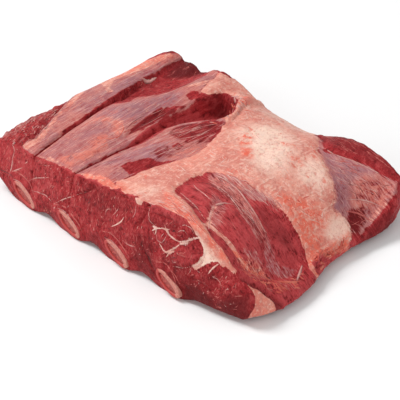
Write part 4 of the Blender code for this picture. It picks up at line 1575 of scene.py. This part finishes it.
class Surface:
    """The built slab's surface, for placing what lies on it."""

    outside: float = 300.0

    def __init__(self, pieces: Sequence[bpy.types.Object]) -> None:
        """Gathers the pieces' faces.

        Args:
            pieces: the objects whose surface counts.
        """
        places, faces = [], []
        for piece in pieces:
            start = len(places)
            places += [v.co.copy() for v in piece.data.vertices]
            faces += [[start + i for i in p.vertices] for p in piece.data.polygons]
        self.tree = BVHTree.FromPolygons(places, faces)

    def hit(self, start: Triple, way: Triple) -> Vector | None:
        """Where a ray meets the surface.

        Args:
            start: its start in drawing millimetres.
            way: its direction.

        Returns:
            The place in drawing millimetres, or None.
        """
        shift = Vector((*ORIGIN, 0.0))
        found = self.tree.ray_cast((Vector(start) - shift) * MM, Vector(way))[0]
        return found / MM + shift if found else None

    def near_y(self, x: float, z: float) -> float | None:
        """Y of the near face at a position across the ribs and a height."""
        found = self.hit((x, -self.outside, z), (0, 1, 0))
        return found.y if found else None

    def far_y(self, x: float, z: float) -> float | None:
        """Y of the far face at a position across the ribs and a height."""
        found = self.hit((x, self.outside, z), (0, -1, 0))
        return found.y if found else None

    def top_z(self, x: float, y: float) -> float | None:
        """Height of the top at a position in plan."""
        found = self.hit((x, y, self.outside), (0, 0, -1))
        return found.z if found else None


class Tone(Enum):
    """Finish of a strand."""

    SEAM = "seam"
    PALE = "pale"
    FLESH = "flesh"
    ROSY = "rosy"
    # Dark lines painted as shade: along grooves and slit lips and in the gaps between fibres and crags.
    DEEP = "deep"


@dataclass(frozen=True)
class Strand:
    """A thin raised line of tissue on the top or on the near face."""

    tone: Tone
    points: Points
    width: float
    rise: float


@dataclass(frozen=True)
class FibreField:
    """Fine strands scattered over an area, all running nearly one way."""

    tone: Tone
    outline: Outline
    count: int
    bearing: float
    spread: float
    length: tuple[float, float]
    width: tuple[float, float]
    rise: float

    def strands(self, chance: np.random.Generator) -> list[Strand]:
        """Scatters the strands.

        Args:
            chance: seeded random numbers.

        Returns:
            The strands.
        """
        low, high = np.min(self.outline.points, axis=0), np.max(self.outline.points, axis=0)
        made: list[Strand] = []
        for _ in range(self.count * 12):
            if len(made) == self.count:
                break
            start = chance.uniform(low, high)
            turn = math.radians(self.bearing + self.spread * chance.normal())
            length, bend = chance.uniform(*self.length), 0.12 * chance.normal()
            steps = np.linspace(-0.5, 0.5, 5) * length
            path = [(start[0] + s * math.cos(turn) - bend * s * s / length * math.sin(turn),
                     start[1] + s * math.sin(turn) + bend * s * s / length * math.cos(turn)) for s in steps]
            across, up = np.array(path).T
            if np.min(self.outline.reach(across, up)) > 0.0:
                made.append(Strand(self.tone, tuple(path), chance.uniform(*self.width), self.rise))
        return made


def strands(text: str) -> tuple[Strand, ...]:
    """Strands from rows of tone, width, rise and line."""
    return tuple(Strand(Tone[tone], points, float(width), float(rise))
                 for (tone, width, rise), points in rows(text))


def fields(areas: str, scattered: str) -> tuple[FibreField, ...]:
    """Fields of fibres.

    Args:
        areas: named outlines.
        scattered: a line for each field.

    Returns:
        The fields.
    """
    outlines = {head[0]: Outline(points) for head, points in rows(areas)}
    made = []
    for line in scattered.strip().splitlines():
        tone, area, count, *sizes = line.split()
        bearing, spread, short, long, thin, thick, rise = map(float, sizes)
        made.append(FibreField(Tone[tone], outlines[area], int(count), bearing, spread, (short, long),
                               (thin, thick), rise))
    return tuple(made)


@dataclass(frozen=True)
class StrandPiece:
    """Lays strands on the top or the near face as closed, tapered threads in one mesh."""

    surface: Surface
    on_face: bool
    noise: Unevenness = Unevenness(77)
    stations: int = 11
    sides: int = 4
    sunk: float = 0.35
    flank_sunk: float = 0.06
    from_edge: float = 0.8
    face_end_y: float = -78.0

    def template(self) -> bpy.types.Mesh:
        """One straight thread along z, from -1 to 1.

        Returns:
            Its mesh.
        """
        mesh = bmesh.new()
        bmesh.ops.create_cone(mesh, cap_ends=True, segments=self.sides, radius1=1.0, radius2=1.0, depth=2.0)
        edges = [e for e in mesh.edges if abs(e.verts[0].co.z - e.verts[1].co.z) > 1.9]
        bmesh.ops.subdivide_edges(mesh, edges=edges, cuts=self.stations, use_grid_fill=True)
        bmesh.ops.recalc_face_normals(mesh, faces=mesh.faces[:])
        data = bpy.data.meshes.new("thread")
        mesh.to_mesh(data)
        mesh.free()
        return data

    def lay(self, strand: Strand, thread: Array) -> Array | None:
        """Places one thread along a strand.

        Args:
            strand: the strand.
            thread: the template's vertices.

        Returns:
            The placed vertices, or None where the strand runs off the surface.
        """
        path = np.array(strand.points, float)
        knots = np.concatenate([[0.0], np.cumsum(np.hypot(*np.diff(path, axis=0).T))])
        share = (thread[:, 2] + 1) / 2
        where = share * knots[-1]
        step = 0.01 * knots[-1]
        way = (curve_weights(knots, where + step) - curve_weights(knots, where - step)) @ path
        way /= np.maximum(np.hypot(*way.T), 1e-9)[:, None]
        taper = np.maximum(np.sin(np.pi * np.clip(share, 0.02, 0.98)), 0.0) ** 0.6
        seeds = on_level(where / 2.3, np.full_like(where, path[0, 0]), path[0, 1])
        half = 0.5 * strand.width * taper * (1 + 0.45 * self.noise.at(seeds, 1.0))
        aside = np.stack([-way[:, 1], way[:, 0]], axis=1) * (half * thread[:, 0])[:, None]
        place = curve_weights(knots, where) @ path + aside
        sunk = np.where(thread[:, 1] < -0.5, -self.sunk, -self.flank_sunk)
        lift = np.where(thread[:, 1] > 0.5, strand.rise * taper, sunk)
        read = self.surface.near_y if self.on_face else self.surface.top_z
        level = [read(float(a), float(b)) for a, b in place]
        if any(value is None for value in level):
            return None
        level = np.array(level, float)
        edge = along(SlabForm.near_knots, SlabForm.near_edge, place[:, 0]) + SlabForm.lean_back
        if not self.on_face and np.min(place[:, 1] - edge) < self.from_edge:
            return None
        if np.ptp(level) > 3.0 + 0.4 * knots[-1] or (self.on_face and np.max(level) > self.face_end_y):
            return None
        if self.on_face:
            return np.stack([place[:, 0], level - lift, place[:, 1]], axis=1)
        return np.stack([place[:, 0], place[:, 1], level + lift], axis=1)

    def build(self, name: str, strands: Sequence[Strand], finish: bpy.types.Material) -> bpy.types.Object:
        """Builds one piece from many strands.

        Args:
            name: the piece's name.
            strands: its strands.
            finish: its material.

        Returns:
            The object.
        """
        template = self.template()
        thread = np.array([v.co for v in template.vertices])
        laid = [placed for placed in (self.lay(strand, thread) for strand in strands) if placed is not None]
        mesh = bmesh.new()
        for _ in laid:
            mesh.from_mesh(template)
        for vertex, place in zip(mesh.verts, np.concatenate(laid)):
            vertex.co = place
        bpy.data.meshes.remove(template)
        return finished(name, mesh, finish)


# The dark lines among these are painted shade along grooves and slit lips.
TOP_STRANDS: tuple[Strand, ...] = strands(
    # Membranes between the muscles of the fan.
    """
    PALE 1.3 0.16: 44,-60 57,-64 71,-68 80,-71
    PALE 2.2 0.25: 90,-77 84,-71 78,-63 73,-54 74,-47 80,-41
    PALE 1 0.16: 72,-55 60,-52 50,-50 42,-46
    PALE 2.8 0.35: 85,-75 97,-71 106,-70 114,-70 120,-67
    PALE 1.1 0.16: 84,-55 92,-57 99,-59 111,-63
    PALE 1.7 0.25: 76,-42 83,-41 98,-44 111,-45 120,-46 128,-48
    PALE 1.2 0.16: 48,-36 62,-36 76,-39 92,-43
    PALE 1.6 0.25: 44,-29 60,-26 74,-28 86,-31 98,-34 110,-37
    PALE 1.5 0.25: 60,-20 80,-17 95,-14 106,-13 119,-15 127,-20
    DEEP 1.3 0.16: 70,-21 84,-18 98,-16 110,-15 118,-17
    PALE 2.3 0.7: 135,-34 131,-27 127,-20
    DEEP 1.2 0.16: 40,-51 48,-39 60,-38 70,-40
    ROSY 2.4 0.7: 112,-74 118,-66 124,-58 131,-50
    ROSY 2.6 0.7: 116,-80 124,-70 131,-62 139,-56
    ROSY 2.4 0.6: 127,-54 133,-44 136,-32
    """
    # Strips.
    """
    PALE 1.5 0.3: -96,-88 -98,-72 -104,-56 -113,-34 -122,-16
    PALE 1 0.2: -82,-72 -88,-48 -88,-28 -89,-11 -87,-1
    PALE 1 0.2: -36,-74 -34,-58 -31,-46 -27,-34 -28,-16
    PALE 1.2 0.3: -28,-8 -24,7 -14,15 -8,24
    PALE 1.2 0.3: -42,-72 -41,-56 -41,-40 -41,-28
    PALE 0.9 0.2: -46,-62 -47,-50 -47,-38 -50,-24
    ROSY 1.4 0.2: -62,-20 -52,-26 -47,-38 -52,-46 -60,-50
    PALE 3 0.6: -108,44 -105,50 -106,60
    DEEP 1.4 0.16: -44,-32 -46,-20 -47,-6 -46,10
    DEEP 0.9 0.16: -50,-26 -54,-12 -55,2
    DEEP 1.2 0.05: -36,-82 -35,-70 -34,-58 -31,-46
    """
    # Flap.
    """
    PALE 1.2 0.25: 62,66 74,66 88,73 102,79 116,85
    PALE 1 0.2: 108,46 112,58 118,66 124,70
    FLESH 1.3 0.3: 113,42 118,52 126,58
    """
)

# The dark lines here follow the face's grooves as painted shade.
FACE_STRANDS: tuple[Strand, ...] = strands(
    """
    SEAM 2.2 0.2: 48,43 52,47 57,49
    PALE 0.8 0.16: 51,48 47,50 43,54
    SEAM 1.3 0.2: 51,50 52,46 51,41
    SEAM 1.6 0.2: 60,54 61,49 65,47 70,46 77,46
    SEAM 1.7 0.2: 56,49 61,50 65,52
    SEAM 3 0.25: 48,47 51,47 54,48
    SEAM 2.8 0.25: 60,51 62,49 64,47
    SEAM 3.4 0.25: 74,44 78,46 82,48
    SEAM 2.8 0.25: 64,31 67,34 71,37
    PALE 0.9 0.16: 46,52 43,57 42,62
    PALE 0.8 0.16: 63,48 61,42 58,38 54,38 52,43
    SEAM 2.9 0.25: 73,45 79,48 83,51 90,55
    SEAM 2 0.2: 77,47 72,41 67,36 62,32 58,34 55,38
    SEAM 1.3 0.2: 66,36 65,32 63,28
    PALE 0.9 0.16: 70,55 77,60 82,60 85,55
    PALE 0.7 0.16: 72,53 76,56 80,55
    SEAM 2 0.2: 94,45 94,39 91,33 86,31
    PALE 0.9 0.16: 70,24 77,26 87,31
    PALE 0.9 0.16: 69,29 72,29 75,31
    SEAM 1.5 0.2: 107,41 103,36 101,31
    PALE 0.9 0.16: 104,31 108,29 111,26
    SEAM 1.4 0.16: 9,29 14,33 18,37 21,43
    PALE 0.8 0.16: 1,34 2,39 7,42
    PALE 0.9 0.16: 9,38 11,41 13,45
    PALE 1 0.16: 22,23 28,22 34,24
    PALE 0.8 0.16: -84,23 -78,28 -72,31 -62,36
    PALE 0.8 0.16: -80,17 -72,19 -61,20 -56,18
    PALE 0.8 0.16: -22,42 -32,35 -42,28 -54,18
    PALE 1.2 0.16: -111,43 -106,40 -105,30 -107,14
    PALE 1.2 0.2: -104,22 -98,26 -93,30
    PALE 0.9 0.16: -91,34 -88,37
    PALE 1.3 0.2: 28,66 31,60 35,57 38,60
    PALE 0.8 0.16: 30,56 30,50 28,44
    FLESH 0.9 0.16: 70,21 74,16 77,11
    DEEP 1.3 0.16: -28,57 -28,51 -26,45 -20,42
    DEEP 1.5 0.16: -9,59 -14,51 -18,45 -26,39
    DEEP 1.7 0.16: 33,42 38,52 44,63 52,66
    DEEP 1.8 0.16: 38,34 44,22 54,12
    DEEP 1 0.16: -128,20 -118,18 -106,19 -98,18
    FLESH 1.4 0.16: -106,22 -96,24 -86,22 -76,15 -70,8
    FLESH 1.4 0.16: -54,18 -44,21 -32,18 -22,11 -19,6
    FLESH 1.2 0.16: -2,20 8,23 20,19 30,12
    FLESH 1 0.16: 52,20 62,23 72,20 80,12
    PALE 1.2 0.2: -101,17 -94,18 -84,14 -76,8
    PALE 1.2 0.2: -49,17 -42,18 -32,14 -24,8
    PALE 1 0.2: 3,17 10,18 20,14 28,8
    """
)


# The dark fields scatter painted shade into the gaps between fibres and crags.
TOP_FIELDS: tuple[FibreField, ...] = fields(
    # Areas.
    """
    first: -86,-86 -95,-86 -95,-70 -101,-53 -113,-32 -122,-14 -128,10 -128,40 -120,66 -112,84 -109,60
      -108,46 -105,30 -102,12 -98,-8 -94,-32 -91,-53
    second: -81,-86 -82,-73 -87,-48 -87,-12 -82,2 -78,18 -66,33 -64,48 -66,70 -60,70 -52,56 -45,40 -44,20
      -44,-6 -46,-30 -40,-58 -41,-84
    third: -34,-84 -32,-58 -27,-40 -27,-4 -14,12 -4,32 4,24 14,0 17,-18 10,-29 0,-38 -8,-46 -14,-56
      -15,-84
    fan: 38,-34 38,-56 44,-65 70,-74 96,-82 118,-80 130,-50 130,-24 120,-15 100,-13 76,-18 48,-27
    band: 40,-32 50,-25 70,-26 104,-34 124,-38 124,-50 98,-46 69,-41
    flap: 62,66 82,52 104,41 112,30 126,40 126,66 122,86 98,78 72,63
    cover: 8,-80 6,-60 16,-28 12,6 0,34 -18,66 -30,72 -54,86 44,86 62,62 80,50 104,36 124,30 124,-8 92,-10
      60,-18 38,-32 36,-56 40,-68
    edge: 40,-92 42,-68 70,-75 96,-83 118,-82 116,-90
    left: -128,-84 -98,-88 -97,-72 -104,-54 -116,-34 -128,-12 -130,-40
    far: -98,-2 -84,4 -72,26 -67,40 -70,70 -84,90 -108,92 -106,40
    rim: 48,84 70,68 98,82 120,90 118,94 50,94
    end: 114,-78 120,-62 130,-48 132,-16 140,-34 143,-56 128,-70
    over: 40,-30 48,-24 64,-17 80,-12 104,-8 124,-10 130,-18 110,-14 84,-19 60,-27
    warm: 90,-2 98,18 108,28 118,12 128,2 128,-12 108,-8
    fringe: -10,66 -28,72 -33,66 -24,60 -10,46 -6,34 -8,20 0,20 4,40
    tags: 126,-10 124,28 134,34 138,10 134,-10
    """,
    # Tone and area, then count, bearing, spread, least and most length, least and most width, rise.
    """
    PALE first 46 98 4 12 40 0.35 0.8 0.1
    ROSY first 12 98 4 8 24 0.35 0.8 0.1
    FLESH first 16 98 4 8 24 0.35 0.8 0.1
    PALE second 70 93 5 10 34 0.35 0.8 0.1
    ROSY second 24 92 7 6 18 0.35 0.8 0.1
    FLESH second 36 93 5 8 26 0.35 0.8 0.1
    DEEP second 16 93 4 8 26 0.3 0.6 0.04
    PALE third 60 80 8 8 28 0.35 0.8 0.1
    DEEP third 22 80 7 6 18 0.35 0.8 0.1
    FLESH third 30 80 7 6 18 0.35 0.8 0.1
    ROSY third 14 80 7 6 18 0.35 0.8 0.1
    PALE band 40 -7 9 4 14 0.35 0.8 0.1
    DEEP band 150 -7 9 3 9 0.4 1.2 0.04
    FLESH band 90 -7 8 4 14 0.35 0.8 0.1
    FLESH fan 60 -9 7 8 28 0.3 0.7 0.1
    DEEP fan 30 -9 7 8 24 0.3 0.7 0.04
    PALE over 70 -8 10 6 18 0.4 1 0.1
    FLESH over 40 -8 10 6 18 0.5 1.2 0.1
    PALE flap 44 27 14 7 22 0.3 0.6 0.1
    FLESH flap 50 40 22 5 18 0.4 0.9 0.1
    DEEP flap 22 36 18 5 16 0.4 0.9 0.04
    SEAM cover 90 8 40 4 14 0.5 1.2 0.14
    ROSY warm 60 8 34 3 9 0.4 1.2 0.1
    ROSY edge 50 -6 8 4 14 0.5 1.4 0.2
    PALE edge 40 -6 8 4 14 0.5 1.2 0.2
    FLESH left 110 100 16 2 7 0.4 0.9 0.1
    PALE left 80 100 20 1.5 5 0.4 0.9 0.3
    DEEP left 110 100 16 2 8 0.6 1.4 0.04
    FLESH far 70 104 16 2 7 0.4 0.8 0.1
    DEEP far 40 104 12 3 10 0.4 0.9 0.04
    FLESH rim 40 4 8 4 14 0.3 0.7 0.1
    ROSY end 50 30 26 3 10 0.7 1.8 0.3
    FLESH end 40 30 22 3 9 0.5 1.4 0.2
    DEEP end 26 30 22 3 9 0.6 1.4 0.04
    ROSY tags 120 60 60 3 8 1.2 3 0.8
    PALE fringe 26 -20 24 3 8 0.8 1.8 0.5
    ROSY fringe 18 -20 24 3 7 0.8 1.6 0.4
    """,
)


# The dark fields scatter painted shade into the gaps between the face's fibres.
FACE_FIELDS: tuple[FibreField, ...] = fields(
    # Areas.
    """
    left: -124,14 -124,38 -84,44 -34,50 -34,18 -60,12 -84,22
    middle: -34,16 -34,50 0,54 28,56 40,48 44,12 34,12 12,24 -8,12
    right: 44,12 44,44 66,66 92,34 122,36 132,14 112,6 88,10 66,24
    rim: -48,50 -26,54 4,58 26,59 26,64 0,62 -30,59 -50,54
    low: -70,5 -62,14 -56,10 -58,4
    """,
    # Tone and area, then count, bearing, spread, least and most length, least and most width, rise.
    """
    FLESH left 130 76 24 1.4 5.5 0.4 1 0.1
    PALE left 16 76 24 1.2 4 0.4 0.9 0.1
    DEEP left 30 76 26 2 7 0.4 1.1 0.04
    FLESH middle 130 84 24 1.4 5.5 0.4 1 0.1
    PALE middle 16 84 24 1.2 4 0.4 0.9 0.1
    DEEP middle 34 84 26 2 8 0.4 1.2 0.04
    FLESH right 110 50 40 1.4 5 0.4 1 0.1
    PALE right 22 50 40 1.2 4 0.4 0.9 0.1
    DEEP right 36 50 40 2 8 0.4 1.2 0.04
    ROSY rim 50 6 10 3 9 0.9 2 0.5
    PALE rim 14 6 12 3 8 0.6 1.3 0.5
    ROSY low 8 60 30 1.5 4 0.6 1.4 0.2
    """,
)


BONE = PlainFinish("sawn_bone", (0.45, 0.135, 0.106), (0.56, 0.232, 0.182), (1.6, 6.0, 1.6),
                   flushed=(0.42, 0.045, 0.040))
MARROW = PlainFinish("marrow", (0.200, 0.014, 0.014), (0.50, 0.085, 0.070), (1.5, 1.5, 1.5),
                     0.45, 0.6, flushed=(0.34, 0.070, 0.056))
STRAND_FINISHES: dict[Tone, PlainFinish] = {
    Tone.SEAM: PlainFinish("seam", (0.62, 0.290, 0.235), (0.74, 0.470, 0.400), (8.0, 8.0, 8.0)),
    Tone.PALE: PlainFinish("film_strand", (0.46, 0.185, 0.165), (0.60, 0.330, 0.290), (9.0, 9.0, 9.0)),
    Tone.FLESH: PlainFinish("flesh_strand", (0.40, 0.062, 0.055), (0.50, 0.125, 0.105), (6.0, 6.0, 6.0)),
    Tone.ROSY: PlainFinish("rosy_strand", (0.48, 0.055, 0.038), (0.60, 0.140, 0.095), (7.0, 7.0, 7.0)),
    # Near black, for the lines of painted shade.
    Tone.DEEP: PlainFinish("shade_line_strand", (0.085, 0.005, 0.006), (0.18, 0.014, 0.014), (7.0, 7.0, 7.0)),
}


@dataclass(frozen=True)
class Slab:
    """The whole slab: lean, fat cover, ribs and the strands on them."""

    form: SlabForm = SlabForm()
    density: Density = Density()
    fat_trim: float = -3.6
    seed: int = 5

    def build(self) -> list[bpy.types.Object]:
        """Builds and dresses the slab.

        Returns:
            Its pieces.
        """
        meshes = SlabMesh(self.form, self.density)
        lean = meshes.box("lean_slab", self.form.under, meshes.lean_top, self.density.levels, False,
                          FleshFinish("raw_lean").build(), None)
        fat = meshes.box("fat_layer", meshes.fat_floor, meshes.fat_top, self.density.fat_levels, True,
                         FleshFinish("raw_fat").build(), self.fat_trim)
        self.place(lean, "lean", "lean_meat")
        self.place(fat, "fat", "fat_cover")
        return [lean, fat, *self.ribs(Surface([lean])), *self.strands(Surface([lean, fat]))]

    def ribs(self, surface: Surface) -> list[bpy.types.Object]:
        """The four ribs.

        Args:
            surface: the lean's surface.

        Returns:
            Their pieces.
        """
        bone, marrow = BONE.build(), MARROW.build()
        made = []
        for number in range(self.form.rib_count):
            rib = Rib(number)
            near = rib.face_level(surface.near_y, min) - rib.proud
            far = rib.face_level(surface.far_y, max) + rib.proud
            tube, core = rib.tube(near, far, bone), rib.core(near, far, marrow)
            self.place(tube, "bone", f"rib_{number + 1}")
            self.place(core, "marrow", f"marrow_{number + 1}")
            made += [tube, core]
        return made

    def strands(self, surface: Surface) -> list[bpy.types.Object]:
        """Membranes, seams and fine fibres.

        Args:
            surface: the surface of the lean and the fat.

        Returns:
            Their pieces.
        """
        finishes = {tone: finish.build() for tone, finish in STRAND_FINISHES.items()}
        chance = np.random.default_rng(self.seed)
        made = []
        for side, drawn, scattered in (("top", TOP_STRANDS, TOP_FIELDS), ("face", FACE_STRANDS, FACE_FIELDS)):
            every = list(drawn)
            for area in scattered:
                every += area.strands(chance)
            layer = StrandPiece(surface, side == "face")
            for tone, finish in finishes.items():
                chosen = [strand for strand in every if strand.tone is tone]
                if chosen:
                    piece = layer.build(f"{tone.value}_strands_{side}", chosen, finish)
                    self.place(piece, "fat" if tone in (Tone.SEAM, Tone.PALE) else "lean")
                    made.append(piece)
        return made

    @staticmethod
    def place(piece: bpy.types.Object, slot: str, node: str | None = None) -> None:
        """Ties a piece to the part.

        Args:
            piece: the piece.
            slot: its material slot in the record; not used.
            node: the node that it stands for, if any.
        """
        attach(piece, "root")
        if node:
            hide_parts(node)
        LOG.info("%s: %d faces", piece.name, len(piece.data.polygons))


def main() -> None:
    """Builds the slab and the studio."""
    logging.basicConfig(level=logging.INFO, format="%(name)s: %(message)s")
    Slab().build()
    Studio().build()


if __name__ == "__main__":
    main()
